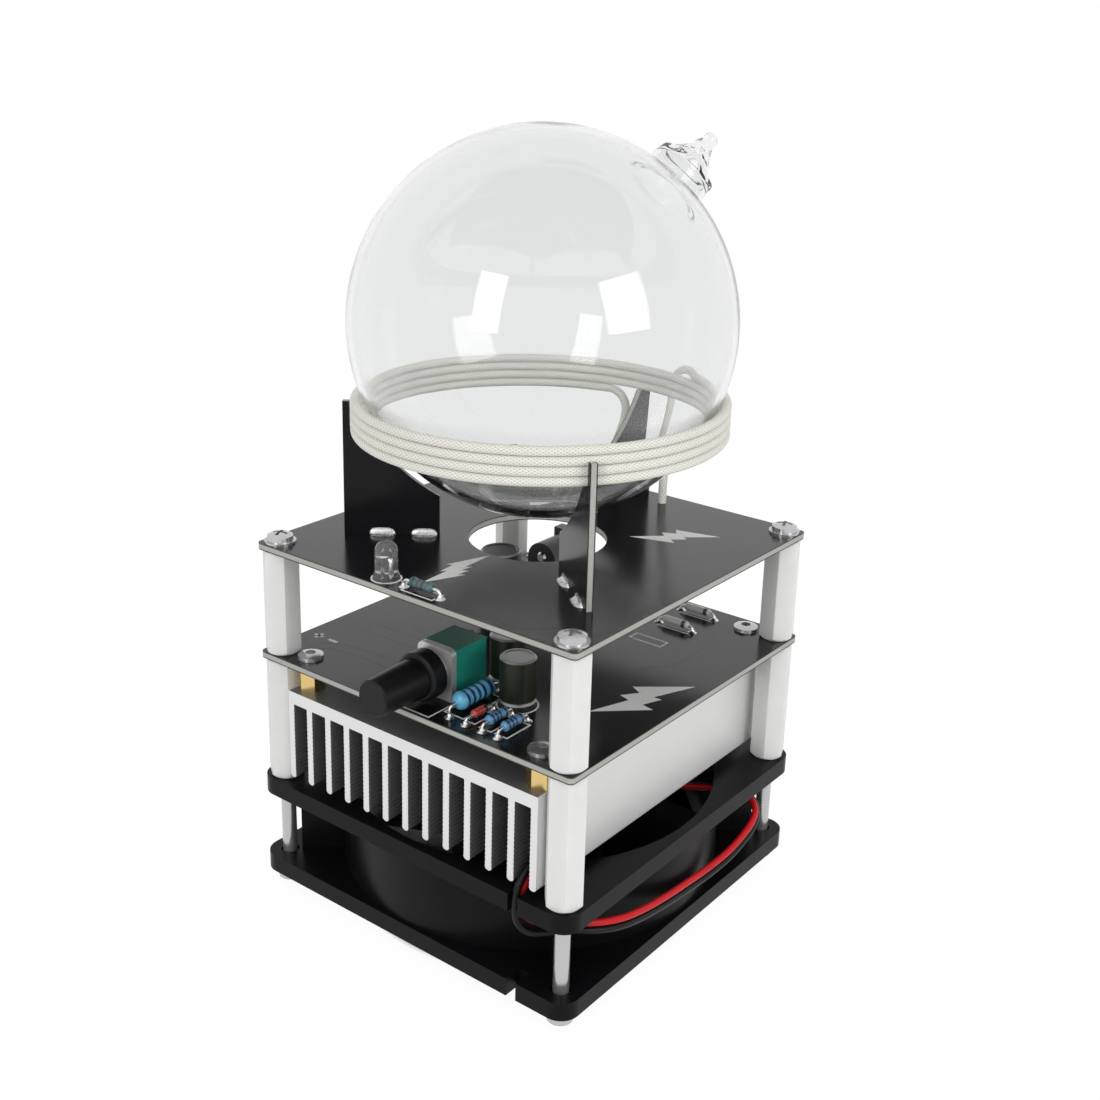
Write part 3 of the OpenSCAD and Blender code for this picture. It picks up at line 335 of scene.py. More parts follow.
def sleeve(at):
    """Capacitor can: dark olive shrink sleeve with a pale stripe down one side, and a bare, spun metal
    top."""
    top = facing(at, (0, 0, 1)).step(0.3, 0.6)
    cloud = at.noise(2.5, 2.0)
    stripe = facing(at, (-0.6, 0.8, 0)).step(0.86, 0.88) * (1 - top)
    film = cloud.blend(rgb(0.007, 0.010, 0.005), rgb(0.016, 0.021, 0.010))
    tone = stripe.blend(film, rgb(0.30, 0.31, 0.27))
    spun = at.noise(0.4, 3.0)
    return {"Base Color": top.blend(tone, rgb(0.42, 0.43, 0.42)), "Metallic": top * 0.9,
            "Roughness": 0.3 + top * 0.1 + cloud * 0.08, "Specular IOR Level": 0.3, "bump": spun * 0.02}


def solder(at):
    """Bright solder with a frozen, slightly wrinkled skin."""
    skin = at.noise(0.5, 3.0)
    return {"Base Color": skin.blend(rgb(0.6, 0.6, 0.6), rgb(0.8, 0.8, 0.79)), "Metallic": 1.0,
            "Roughness": 0.16 + skin * 0.2, "bump": skin * 0.05}


def ink(at):
    """Screen-printed white ink, thin in places."""
    thin = at.noise(0.35, 4.0, 0.7)
    return {"Base Color": thin.step(0.22, 0.5).blend(rgb(0.5, 0.5, 0.5), rgb(0.83, 0.83, 0.82)),
            "Roughness": 0.62 + thin * 0.2, "bump": thin * 0.012}


def control_case(at):
    """Green moulded case with a duller, darker top, which is painted shade."""
    top = facing(at, (0, 0, 1)).step(0.5, 0.8)
    patch = at.noise(3.0, 2.0)
    green = patch.blend(rgb(0.009, 0.28, 0.205), rgb(0.014, 0.39, 0.285))
    # Painted shade: faces that look up take the darker green.
    return {"Base Color": top.blend(green, rgb(0.014, 0.12, 0.09)), "Roughness": 0.36 + patch * 0.12,
            "bump": at.noise(0.12, 2.0) * 0.012}


def knob_plastic(at):
    """Satin black knob; the flat end is painted a little greyer, a painted light on the face towards the
    front lamp, and is drier from handling.
    """
    end = facing(at, (0, -1, 0)).step(0.7, 0.9)
    wear = at.noise(1.5, 3.0)
    # Painted light: the flat end, which faces the front lamp, takes the greyer black.
    return {"Base Color": end.blend(rgb(0.006, 0.006, 0.007), rgb(0.014, 0.014, 0.015)),
            "Roughness": 0.38 + end * 0.2 + (wear - 0.5) * 0.12, "Specular IOR Level": 0.2,
            "bump": at.noise(0.15, 2.0) * 0.01}


def insulation(colour):
    """Soft wire insulation: smooth, with a slight ripple along it."""
    def recipe(at):
        along, _, _ = at.node("UVMap", out="UV").xyz()
        cloud = at.noise(2.0, 2.0)
        return {"Base Color": cloud.blend(*shades(colour, 0.85, 1.0)), "Roughness": 0.3 + cloud * 0.12,
                "Specular IOR Level": 0.2, "bump": (along * 2.1).sin() * 0.006 + cloud * 0.02}
    return recipe


def winding(at):
    """Enamelled copper wire laid side by side."""
    lay = (at.xyz()[2] * 16).sin() * 0.5 + 0.5
    # Painted shade: colour follows the relief, so the grooves between turns take the dark copper.
    return {"Base Color": lay.blend(rgb(0.4, 0.16, 0.06), rgb(0.75, 0.36, 0.15)), "Metallic": 0.9,
            "Roughness": 0.28 + lay * 0.1, "bump": lay * 0.1}


FINISH = {
    "fan_black": finish("fan black", moulded((0.005, 0.005, 0.006), 0.33, 0.3, 0.012, 0.1)),
    "impeller_black": finish("impeller black", moulded((0.007, 0.007, 0.008), 0.3, 0.3, 0.012, 0.2)),
    "magnet": finish("magnet ring", moulded((0.06, 0.06, 0.062), 0.6)),
    "shaft_steel": finish("ground steel", plated((0.62, 0.63, 0.65), 0.2)),
    "bearing_bronze": finish("sintered bronze", plated((0.5, 0.34, 0.16), 0.42, 0.1)),
    "stator_steel": finish("stacked steel", plated((0.4, 0.4, 0.42), 0.4, 0.1)),
    "copper_winding": finish("copper winding", winding),
    "driver_board_green": finish("driver board", moulded((0.02, 0.16, 0.06), 0.25)),
    "lead_red": finish("red insulation", insulation((0.62, 0.010, 0.016))),
    "lead_black": finish("black insulation", insulation((0.006, 0.006, 0.007))),
    "connector_cream": finish("cream connector", moulded((0.78, 0.76, 0.69), 0.4)),
    "screw_steel": finish("plated screws", plated((0.56, 0.56, 0.565), 0.2, metal=0.8)),
    "nylon_white": finish("milky nylon", nylon),
    "heatsink_aluminium": finish("extruded aluminium", extruded),
    "spacer_brass": finish("turned brass", plated((0.78, 0.58, 0.24), 0.24)),
    "transistor_black": finish("moulded case", moulded((0.02, 0.02, 0.021), 0.5, 0.2, 0.03)),
    "pad_grey": finish("grey pad", moulded((0.5, 0.51, 0.53), 0.7)),
    "board_black": finish("black board", board((0, 0, 1), (LOW_TOP - HALF_BOARD, UP_TOP - HALF_BOARD), 0.38)),
    "control_green": finish("green control body", control_case),
    "control_plate": finish("pressed plate", plated((0.66, 0.66, 0.66), 0.36, 0.1, 0.55)),
    "control_shaft": finish("control shaft", moulded((0.7, 0.7, 0.69), 0.4)),
    "knob_black": finish("satin knob", knob_plastic),
    "large_resistor_blue": finish("large resistor lacquer", banded((0.13, 0.47, 0.72), [
        (-0.62, 0.075, (0.02, 0.05, 0.16)), (-0.3, 0.075, (0.015, 0.03, 0.1)),
        (0.0, 0.075, (0.02, 0.05, 0.16)), (0.3, 0.075, (0.015, 0.03, 0.1)),
        (0.64, 0.09, (0.02, 0.045, 0.14))])),
    "small_resistor_blue": finish("small resistor lacquer", banded((0.10, 0.30, 0.55), [
        (-0.66, 0.1, (0.03, 0.02, 0.05)), (-0.25, 0.09, (0.01, 0.02, 0.07)),
        (0.08, 0.09, (0.02, 0.02, 0.08)), (0.62, 0.1, (0.06, 0.035, 0.03))])),
    "diode_red": finish("red glass diode", banded((0.55, 0.05, 0.035), [(0.6, 0.2, (0.01, 0.01, 0.01))])),
    "diode_pale": finish("pale diode", banded((0.60, 0.60, 0.585), [(0.66, 0.14, (0.05, 0.05, 0.05))])),
    "capacitor_sleeve": finish("capacitor sleeve", sleeve),
    "inlet_black": finish("inlet black", moulded((0.013, 0.013, 0.014), 0.32)),
    "inlet_pin": finish("inlet contact", plated((0.72, 0.72, 0.71), 0.2)),
    "solder": finish("bright solder", solder),
    "indicator_clear": finish("clear resin", clear_resin),
    "coil_braid": finish("braided sleeve", braid),
    "globe_glass": finish("blown glass", glass),
}
FIN_TURNS = {"fin_left": -142, "fin_right": -38, "fin_back": 90}


def fin_coat(node):
    """Board finish whose faces look square to a fin's own plane."""
    turn = math.radians(FIN_TURNS[node])
    square = (-math.sin(turn), math.cos(turn), 0)
    return finish("black " + node.replace("_", " "), board(square, (0,), 0.12))


FIN_FINISH = {node: fin_coat(node) for node in FIN_TURNS}
INK = finish("white ink", ink)
TEAL = finish("teal resistor lacquer", banded((0.035, 0.12, 0.14), [
    (-0.62, 0.1, (0.02, 0.02, 0.03)), (-0.2, 0.09, (0.09, 0.03, 0.02)), (0.2, 0.09, (0.02, 0.02, 0.03)),
    (0.64, 0.1, (0.10, 0.07, 0.02))]))


def dress_solids():
    """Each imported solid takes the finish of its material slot, and each fin the one turned its way."""
    for row in frame["record"]["subparts"]:
        solid = frame["nodes"][row["node"]]
        coat = FIN_FINISH.get(row["node"], FINISH[row["material_slot"]])
        solid.data.materials.clear()
        solid.data.materials.append(coat)


dress_solids()


# Surfaces

def unit(v):
    """Vectors brought to length 1."""
    return v / np.linalg.norm(v, axis=-1, keepdims=True)


def ease(u):
    """3 u^2 - 2 u^3: from 0 to 1 with level ends."""
    return u * u * (3 - 2 * u)


def smooth_line(points, step):
    """Cubic Hermite curve through the points: each tangent is the mean of the slopes beside it, weighted by
    the other chord. Sampled about every `step`."""
    p = np.asarray(points, float)
    chord = np.linalg.norm(np.diff(p, axis=0), axis=1)
    knots = np.concatenate([[0], np.cumsum(chord)])
    slope = np.diff(p, axis=0) / chord[:, None]
    before, after = chord[:-1, None], chord[1:, None]
    inner = (slope[:-1] * after + slope[1:] * before) / (after + before)
    tangent = np.vstack([slope[:1], inner, slope[-1:]])
    s = np.linspace(0, knots[-1], int(knots[-1] / step) + 2)
    k = np.clip(np.searchsorted(knots, s, "right") - 1, 0, len(chord) - 1)
    h = chord[k][:, None]
    u = ((s - knots[k]) / chord[k])[:, None]
    return ((2 * u ** 3 - 3 * u ** 2 + 1) * p[k] + (u ** 3 - 2 * u ** 2 + u) * h * tangent[k]
            + (3 * u ** 2 - 2 * u ** 3) * p[k + 1] + (u ** 3 - u ** 2) * h * tangent[k + 1])


def tube(path, radius, sides, side):
    """Rings round a path: p + r (cos a n + sin a b), with t the path's direction, n the part of `side` that
    is square to t, and b = t x n. `side` is one direction, or one for each point, that never lies along the
    path."""
    t = unit(np.gradient(path, axis=0))
    side = np.broadcast_to(np.asarray(side, float), path.shape)
    n = unit(side - (side * t).sum(1, keepdims=True) * t)
    b = np.cross(t, n)
    a = np.arange(sides) * TAU / sides
    ring = np.cos(a)[None, :, None] * n[:, None] + np.sin(a)[None, :, None] * b[:, None]
    return path[:, None] + radius * ring


def turned(profile, sides):
    """Surface of revolution of (radius, height) points: (r cos a, r sin a, z)."""
    p = np.asarray(profile, float)
    a = np.arange(sides) * TAU / sides
    return np.stack([p[:, :1] * np.cos(a), p[:, :1] * np.sin(a), np.repeat(p[:, 1:2], sides, 1)], -1)


def run_length(path):
    """Length of a path from its start to each of its points."""
    return np.concatenate([[0], np.cumsum(np.linalg.norm(np.diff(path, axis=0), axis=1))])


def quads(grid, along=None, caps=False):
    """Faces between neighbouring rings of a grid of points, as (corners in a row, corners of each face). caps
    close the first and last ring. Each corner's pair is (length along, turn)."""
    n, m = grid.shape[:2]
    i, j = np.meshgrid(np.arange(n - 1), np.arange(m), indexing="ij")
    rows = np.stack([i, i, i + 1, i + 1], -1).reshape(-1, 4)
    cols = np.stack([j, j + 1, j + 1, j], -1).reshape(-1, 4)
    along = np.arange(n, dtype=float) if along is None else np.asarray(along, float)
    corners = (rows * m + cols % m).ravel()
    sizes = np.full(len(rows), 4)
    pairs = np.stack([along[rows], cols / m], -1).reshape(-1, 2)
    if caps:
        rim = np.arange(m)
        corners = np.concatenate([corners, rim[::-1], rim + (n - 1) * m])
        sizes = np.append(sizes, (m, m))
        ends = np.zeros((2 * m, 2))
        ends[:m, 0], ends[m:, 0] = along[0], along[-1]
        pairs = np.vstack([pairs, ends])
    return grid.reshape(-1, 3), (corners, sizes), pairs


def together(shapes):
    """Several shapes as one set of points, faces and corner pairs."""
    points, faces, pairs = zip(*shapes)
    bases = np.cumsum([0] + [len(p) for p in points[:-1]])
    corners = np.concatenate([c + base for (c, _), base in zip(faces, bases)])
    sizes = np.concatenate([s for _, s in faces])
    return np.vstack(points), (corners, sizes), np.vstack(pairs)


def piece(name, shape, slot, body="chassis", coat=None, solid=None, sharp=38, outward=True):
    """A finished piece from points in mm, faces and corner pairs. It rides on a body and may stand for a
    solid."""
    points, (corners, sizes), pairs = shape
    mesh = bpy.data.meshes.new(name)
    mesh.vertices.add(len(points))
    mesh.loops.add(len(corners))
    mesh.polygons.add(len(sizes))
    mesh.vertices.foreach_set("co", (points * MM).astype(np.float32).ravel())
    mesh.loops.foreach_set("vertex_index", corners.astype(np.int32))
    mesh.polygons.foreach_set("loop_start", (np.cumsum(sizes) - sizes).astype(np.int32))
    mesh.update(calc_edges=True)
    layer = mesh.uv_layers.new(name="UVMap")
    layer.data.foreach_set("uv", np.asarray(pairs, np.float32).ravel())
    work = bmesh.new()
    work.from_mesh(mesh)
    bmesh.ops.remove_doubles(work, verts=work.verts, dist=2e-7)
    bmesh.ops.dissolve_degenerate(work, edges=work.edges, dist=1e-8)
    if outward:
        bmesh.ops.recalc_face_normals(work, faces=work.faces)
    work.to_mesh(mesh)
    work.free()
    mesh.shade_smooth()
    mesh.set_sharp_from_angle(angle=math.radians(sharp))
    mesh.materials.append(coat or FINISH[slot])
    made = bpy.data.objects.new(name, mesh)
    bpy.context.collection.objects.link(made)
    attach(made, body)
    if solid:
        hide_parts(solid)
    return made


# Fan lead

RED_ROUTE = [
    (14.2, 9.9, 24.4), (23, 16.8, 23.6), (32, 23.8, 22.7), (37.6, 28.2, 22.3), (40.6, 30.2, 21.7),
    (43.6, 30.8, 20.6), (45.8, 29.2, 19.2), (46.8, 26, 17.8), (47, 22, 16.5), (47, 16, 15.2),
    (46.8, 10, 14.7), (46.6, 4, 14.7), (46.5, -2, 15.1), (46.5, -11, 16), (46.4, -20, 17.4),
    (46.1, -25, 18.4), (45.2, -29.5, 19.4), (43.4, -33.4, 20.2), (41, -36.4, 20.8), (38.8, -38.6, 21),
    (36.4, -40, 20.7), (34.5, -41.15, 20.6), (32.95, -42.1, 21.2), (31.95, -42.75, 22.7), (31.6, -43, 25),
    (31.6, -42.85, 27.4), (31.9, -41.6, 29.7), (32.4, -38.6, 31.3), (32.8, -33.5, 32.4), (32.8, -27, 33.3),
    (32.8, 0, 34.1), (32.8, 30, 34.2), (32.4, 42, 35.2), (31.2, 46.8, 38), (28.6, 49.2, 42.6),
    (25.2, 49.7, 48), (23.4, 49.4, 52.2), (22.8, 48.3, 54.7), (22.75, 46.7, 55.7), (22.75, 45, 55.7),
]
BLACK_ROUTE = [
    (13, 11.5, 24.4), (21.8, 18.4, 23.6), (30.8, 25.3, 22.7), (36.4, 29.7, 22.3), (40.2, 32.2, 21.1),
    (43.6, 32.4, 19.3), (45.8, 30, 17.3), (46.8, 26, 15.7), (47, 22, 14.5), (47, 16, 13.3),
    (46.8, 10, 12.8), (46.6, 4, 12.8), (46.5, -2, 13.2), (46.5, -11, 14.1), (46.4, -20, 15.5),
    (46.1, -25, 16.5), (45.2, -29.5, 17.5), (43.4, -33.4, 18.3), (41, -36.4, 18.8), (38.8, -38.8, 18.8),
    (36.6, -40.8, 18.6), (34.5, -42.6, 18.6), (33, -43.8, 19.4), (32, -44.6, 21), (31.6, -44.9, 23.4),
    (31.6, -44.85, 26.6), (31.7, -44.3, 29.4), (32.1, -42.3, 32.2), (32.6, -38.4, 34.3), (32.8, -31, 35.3),
    (32.8, 0, 36), (32.8, 30, 36.2), (32.6, 41, 37.2), (31.8, 46.2, 39.6), (30, 49, 44),
    (27.4, 49.6, 48.6), (25.9, 49.4, 52.2), (25.3, 48.3, 54.7), (25.25, 46.7, 55.7), (25.25, 45, 55.7),
]


LEAD_R = 0.8
LEAD_SIDE = (0.78, -0.36, 0.51)


def fan_lead(name, route, slot, solid):
    """Insulated wire: a round tube along a smooth line through the route."""
    path = smooth_line(route, 0.7)
    along = run_length(path)
    made = piece(name, quads(tube(path, LEAD_R, 12, LEAD_SIDE), along, caps=True), slot, solid=solid)
    path[0] * MM
    path * MM


fan_lead("red_wire", RED_ROUTE, "lead_red", "fan_lead_red")
fan_lead("black_wire", BLACK_ROUTE, "lead_black", "fan_lead_black")


# Coil and globe

COIL_R = GLOBE_R - 1.7
COIL_PITCH = 2.12
BRAID_R = 1.03
WIRE_R, WIRE_GAP = 0.85, 0.2
COIL_START, COIL_STOP = 103.0, 1502.0
COIL_REACH = COIL_R * math.cos(math.radians(7.5))
COIL_TOP = GLOBE_Z - math.sqrt((GLOBE_R + WIRE_R + WIRE_GAP) ** 2 - COIL_REACH ** 2)
COIL_BOTTOM = COIL_TOP - COIL_PITCH * (COIL_STOP - COIL_START) / 360
BEND, FOOT = 5.0, 3.0


def polar(turn, r, z):
    """Points at a turn in degrees, a distance from the lamp's axis and a height: (r cos a, r sin a, z)."""
    turn = np.radians(turn)
    return np.stack([r * np.cos(turn), r * np.sin(turn), np.broadcast_to(z, np.shape(turn))], -1)


def coil_end(turn, z, way, out, pad_r):
    """A wire end: an eased step outwards, a quarter bend downwards, an eased drift to its pad, a straight
    foot."""
    ramp = 7 * min(1, out)
    r = COIL_R + out
    per_mm = way * 180 / (math.pi * COIL_R)
    low, foot, down = z - BEND, UP_TOP + FOOT, turn + per_mm * (ramp + BEND)
    u = np.linspace(0, 1, 25)[1:]
    parts = [polar(turn + per_mm * ramp * u, COIL_R + out * ease(u), z)] if out else []
    quarter = u * TAU / 4
    parts.append(polar(turn + per_mm * (ramp + BEND * np.sin(quarter)), r, z - BEND * (1 - np.cos(quarter))))
    parts.append(polar(np.full(24, down), r + (pad_r - r) * ease(u), low + (foot - low) * u))
    parts.append(polar(np.full(4, down), pad_r, foot + (UP_TOP - foot) * np.linspace(0.25, 1, 4)))
    return np.vstack(parts)


def wind_coil():
    """Braided wire: a helix about the lamp's axis, with both ends led down to the upper board, as one round
    tube."""
    u = np.linspace(0, 1, 470)
    climb = COIL_BOTTOM + u * (COIL_TOP - COIL_BOTTOM)
    helix = polar(COIL_START + u * (COIL_STOP - COIL_START), COIL_R, climb)
    first = coil_end(COIL_START, COIL_BOTTOM, -1, 0, COIL_R - 9)[::-1]
    last = coil_end(COIL_STOP, COIL_TOP, 1, COIL_PITCH + 0.4, COIL_R - 1)
    path = np.vstack([first, helix, last])
    braided = quads(tube(path, BRAID_R, 18, path * (1, 1, 0)), run_length(path), caps=True)
    piece("braided_coil", braided, "coil_braid", solid="coil", sharp=60)


wind_coil()


def lathe_line(end, radius, line):
    """Profile of a ball from its lower pole to `end` degrees short of the upper one, then on along a smooth
    line."""
    a = np.linspace(TAU / 2, math.radians(end), 90)
    ball = np.stack([radius * np.sin(a), radius * np.cos(a)], -1)
    drawn = smooth_line([(r, 0, h) for r, h in [tuple(ball[-1])] + line], 0.25)[1:, ::2]
    return np.vstack([ball, drawn])


GLOBE_WALL = 1.5
OUTER_TIP = [
    (8.5, 42.8), (8.05, 44.0), (7.75, 45.6), (7.55, 47.0), (7.6, 47.9), (7.45, 48.5), (6.7, 48.75),
    (5.5, 49.8), (4.1, 51.5), (2.9, 53.4), (2.05, 55.2), (1.7, 56.4), (1.7, 57.2), (1.35, 57.95),
    (0.65, 58.33), (0, 58.4),
]
INNER_TIP = [
    (7.2, 41.6), (6.75, 43.0), (6.4, 45.2), (6.2, 46.8), (5.2, 48.2), (3.5, 50.2), (1.8, 52.0), (0.8, 53.2),
    (0, 53.6),
]


def blow_globe():
    """Sealed globe: an outer profile turned about the tip's axis (sphere, a flared stub with a beaded rim and
    a hollow cone drawn to a small bulb) and an inner one that follows it a wall further in. The drawn glass
    wavers a little."""
    lean, turn = math.radians(90 - 42.5), math.radians(67)
    outer = lathe_line(12.4, GLOBE_R, OUTER_TIP)
    inner = lathe_line(11, GLOBE_R - GLOBE_WALL, INNER_TIP)
    place = Matrix.Rotation(turn, 3, "Z") @ Matrix.Rotation(lean, 3, "Y")
    angle = np.arange(128) * TAU / 128
    shapes = []
    for profile, inside in ((outer, False), (inner, True)):
        skin = turned(profile, 128)
        height = profile[:, 1:2]
        drawn = np.clip((height - 46) / 3, 0, 1) * np.clip((57.5 - height) / 2, 0, 1)
        slow, quick = np.sin(3 * angle + height * 1.3), np.sin(7 * angle - height * 2)
        waver = 1 - drawn * (0.035 * (1 + slow) + 0.015 * quick)
        skin[..., :2] *= waver[..., None]
        points, (corners, sizes), pairs = quads(skin)
        if inside:
            corners = corners.reshape(-1, 4)[:, ::-1].ravel()
        shapes.append((points @ np.array(place).T + (0, 0, GLOBE_Z), (corners, sizes), pairs))
    made = piece("blown_globe", together(shapes), "globe_glass", solid="globe", sharp=70, outward=False)
    made.visible_shadow = False


blow_globe()


# Heatsink

def cut_heatsink():
    """A flat base and fins that hang from it, straight along Y. Flanks that face another fin carry fine
    ridges, a triangle wave of depth, and each fin's lower end is rounded as a quarter circle on both
    sides."""
    low, high = box("heatsink")
    fins, thick, base, tip = 13, 1.8, 3.0, 0.75
    root, foot = high[2] - base, low[2]
    drop = np.linspace(0, 1, 73)
    ridge = 0.11 * (1 - np.abs((drop * 18) % 1 * 2 - 1)) * np.clip(np.minimum(drop, 1 - drop) * 20, 0, 1)
    a = np.linspace(0, TAU / 4, 9)[1:]
    z = np.concatenate([root + drop * (foot + tip - root), foot + tip - np.sin(a) * tip])
    plain = np.concatenate([np.full(73, thick / 2), np.maximum(0.05, np.cos(a)) * thick / 2])
    ridged = plain - np.concatenate([ridge, 0 * a])
    shapes = []
    for k, c in enumerate(np.linspace(low[0] + thick / 2, high[0] - thick / 2, fins)):
        left = c - (ridged if k > 0 else plain)
        right = c + (ridged if k < fins - 1 else plain)
        ring_x = np.stack([left, right, right, left], -1)
        ring_y = np.broadcast_to((low[1], low[1], high[1], high[1]), ring_x.shape)
        ring_z = np.broadcast_to(z[:, None], ring_x.shape)
        shapes.append(quads(np.stack([ring_x, ring_y, ring_z], -1), caps=True))
    corners = [(low[0], low[1]), (high[0], low[1]), (high[0], high[1]), (low[0], high[1])]
    shapes.append(quads(np.array([[(x, y, h) for x, y in corners] for h in (root, high[2])]), caps=True))
    piece("ridged_heatsink", together(shapes), "heatsink_aluminium", solid="heatsink", sharp=20)


cut_heatsink()


# Parts with wire ends

def along_axis(points, place, turn):
    """Points made along X, turned about Z and moved to their place."""
    c, s = math.cos(math.radians(turn)), math.sin(math.radians(turn))
    return points @ np.array([[c, s, 0], [-s, c, 0], [0, 0, 1]]) + np.asarray(place, float)


LEG_R = 0.35
SOLDER_FOOT = [(0, 0), (1.15, 0), (1.0, 0.12), (0.7, 0.32), (0.42, 0.75), (0.36, 1.0), (0, 1.0)]


def wired_part(node, turn, length, slot, waist, coat=None):
    """Body turned about its own axis: a rounded capsule with a narrower waist. Wire: a tube that rises from
    the board, bends round a quarter circle and runs through the body to the other side."""
    low, high = box(node)
    place = np.append((low + high)[:2] / 2, low[2])
    d = high[2] - low[2] - 0.5
    span = (high - low)[:2].max() - 0.7
    axis = d / 2 + 0.5
    w = np.sin(np.linspace(-1, 1, 61) * TAU / 4)
    bulge = np.exp(-((np.abs(w) - 0.74) / 0.2) ** 2)
    r = d / 2 * (1 - waist * (1 - bulge)) * (1 - np.abs(w) ** 10) ** 0.4
    skin = turned(np.stack([r, w * length / 2], -1), 40)[..., [2, 0, 1]] + (0, 0, axis)
    points, faces, pairs = quads(skin, w)
    body = (along_axis(points, place, turn), faces, pairs)
    piece(node + "_body", body, slot, coat=coat, solid=node, sharp=60)
    bend = min(1.0, axis - 0.3)
    a = np.linspace(0, TAU / 4, 9)
    rise = np.stack([-span / 2 + bend * (1 - np.cos(a)), 0 * a, axis - bend + bend * np.sin(a)], -1)
    half = np.vstack([[(-span / 2, 0, 0)], rise])
    path = np.vstack([half, (half * (-1, 1, 1))[::-1]])
    wire = quads(tube(path, LEG_R, 10, (0, 1, 0)), caps=True)
    pads = [quads(turned(SOLDER_FOOT, 14) + (s * span / 2, 0, 0)) for s in (-1, 1)]
    points, faces, pairs = together([wire] + pads)
    piece(node + "_wire", (along_axis(points, place, turn), faces, pairs), "solder", sharp=50)


wired_part("large_resistor", 90, 11.5, "large_resistor_blue", 0.12)
wired_part("small_resistor_left", 90, 6.4, "small_resistor_blue", 0.16)
wired_part("small_resistor_right", 90, 6.4, "small_resistor_blue", 0.16)
wired_part("indicator_resistor", 0, 6.4, "small_resistor_blue", 0.16, TEAL)
wired_part("red_diode", 90, 4.4, "diode_red", 0.02)
wired_part("pale_diode_front", 0, 7.4, "diode_pale", 0.02)
wired_part("pale_diode_back", 0, 7.4, "diode_pale", 0.02)


# Solder along the fins' tabs

TAB_MIDDLE = 2.5
SOLDER_HALF = 3.0
FIN_TABS = {"fin_left": (23.5, 33.1, 1), "fin_right": (25.7, 36.7, -1), "fin_back": (25.7, 36.7, 1)}


def run_solder():
    """Fillets: a hollow quarter circle between board and fin, carried along the tab and swelling from nothing
    at both ends as (1 - s^4)^(1/2)."""
    s = np.linspace(-1, 1, 25)
    swell = np.sqrt(np.clip(1 - s ** 4, 0, None))[:, None]
    a = np.linspace(0, TAU / 4, 9)
    reach = np.concatenate([1.5 * (1 - np.sin(a)), [0]])[None]
    rise = np.concatenate([1.6 * (1 - np.cos(a)), [0]])[None]
    shapes = []
    for node, (near, far, side) in FIN_TABS.items():
        for start in (near, far):
            x = np.broadcast_to((start + TAB_MIDDLE + s * SOLDER_HALF)[:, None], (len(s), len(a) + 1))
            lump = np.stack([x, side * (HALF_BOARD + swell * reach), UP_TOP + swell * rise], -1)
            points, faces, pairs = quads(lump)
            shapes.append((along_axis(points, (0, 0, 0), FIN_TURNS[node]), faces, pairs))
    piece("tab_solder", together(shapes), "solder", solid="fin_solder", sharp=60)


run_solder()


# Printed marks and copper relief

LEAST_MITRE = 0.35


def to_left(v):
    """Directions on the board turned a quarter to the left."""
    return np.stack([-v[:, 1], v[:, 0]], -1)


def ribbon(line, width, z, height, closed=False):
    """A flat bar carried along a line on the board: a rectangle `width` by `height` across it, mitred at each
    corner."""
    p = np.asarray(line, float)
    if closed:
        p = np.vstack([p, p[:1]])
    step = unit(np.diff(p, axis=0))
    before = np.vstack([step[-1:] if closed else step[:1], step])
    after = np.vstack([step, step[:1] if closed else step[-1:]])
    mitre = to_left(before) + to_left(after)
    mitre = mitre / np.maximum(LEAST_MITRE, (mitre * to_left(after)).sum(1, keepdims=True)) * width / 2
    corners = [p + mitre, p + mitre, p - mitre, p - mitre]
    levels = [z, z + height, z + height, z]
    grid = np.stack([np.column_stack([c, np.full(len(p), h)]) for c, h in zip(corners, levels)], 1)
    return quads(grid, caps=not closed)


def plaque(outline, z, height):
    """A flat shape on the board: an outline carried straight up by `height` and closed above and below."""
    o = np.asarray(outline, float)
    grid = np.stack([np.column_stack([o, np.full(len(o), h)]) for h in (z, z + height)])
    return quads(grid, caps=True)


def bolt(shape, tail, head):
    """Plain lightning bolt between two points. The shape is (share of the way, share to the left) of each
    corner."""
    tail, head, shape = (np.asarray(v, float) for v in (tail, head, shape))
    axis = head - tail
    return tail + shape[:, :1] * axis + shape[:, 1:] * np.array([-axis[1], axis[0]])


LONG_BOLT = [(0, 0), (0.4, 0.03), (0.345, 0.07), (0.55, 0.1), (0.52, 0.15), (1, 0), (0.59, -0.03),
             (0.635, -0.075), (0.49, -0.06), (0.54, -0.125), (0.39, -0.115), (0.44, -0.175)]
WIDE_BOLT = [(0, 0), (0.385, 0.03), (0.37, 0.135), (0.53, 0.1), (0.54, 0.22), (1, 0), (0.59, -0.01),
             (0.625, -0.075), (0.44, -0.085), (0.47, -0.195)]


def ring(x, y, r):
    """A circle of 48 points on the board: (x + r cos a, y + r sin a)."""
    a = np.arange(48) * TAU / 48
    return np.stack([x + r * np.cos(a), y + r * np.sin(a)], -1)


def frame_line(x0, y0, x1, y1):
    """The four corners of an upright rectangle on the board."""
    return [(x0, y0), (x1, y0), (x1, y1), (x0, y1)]


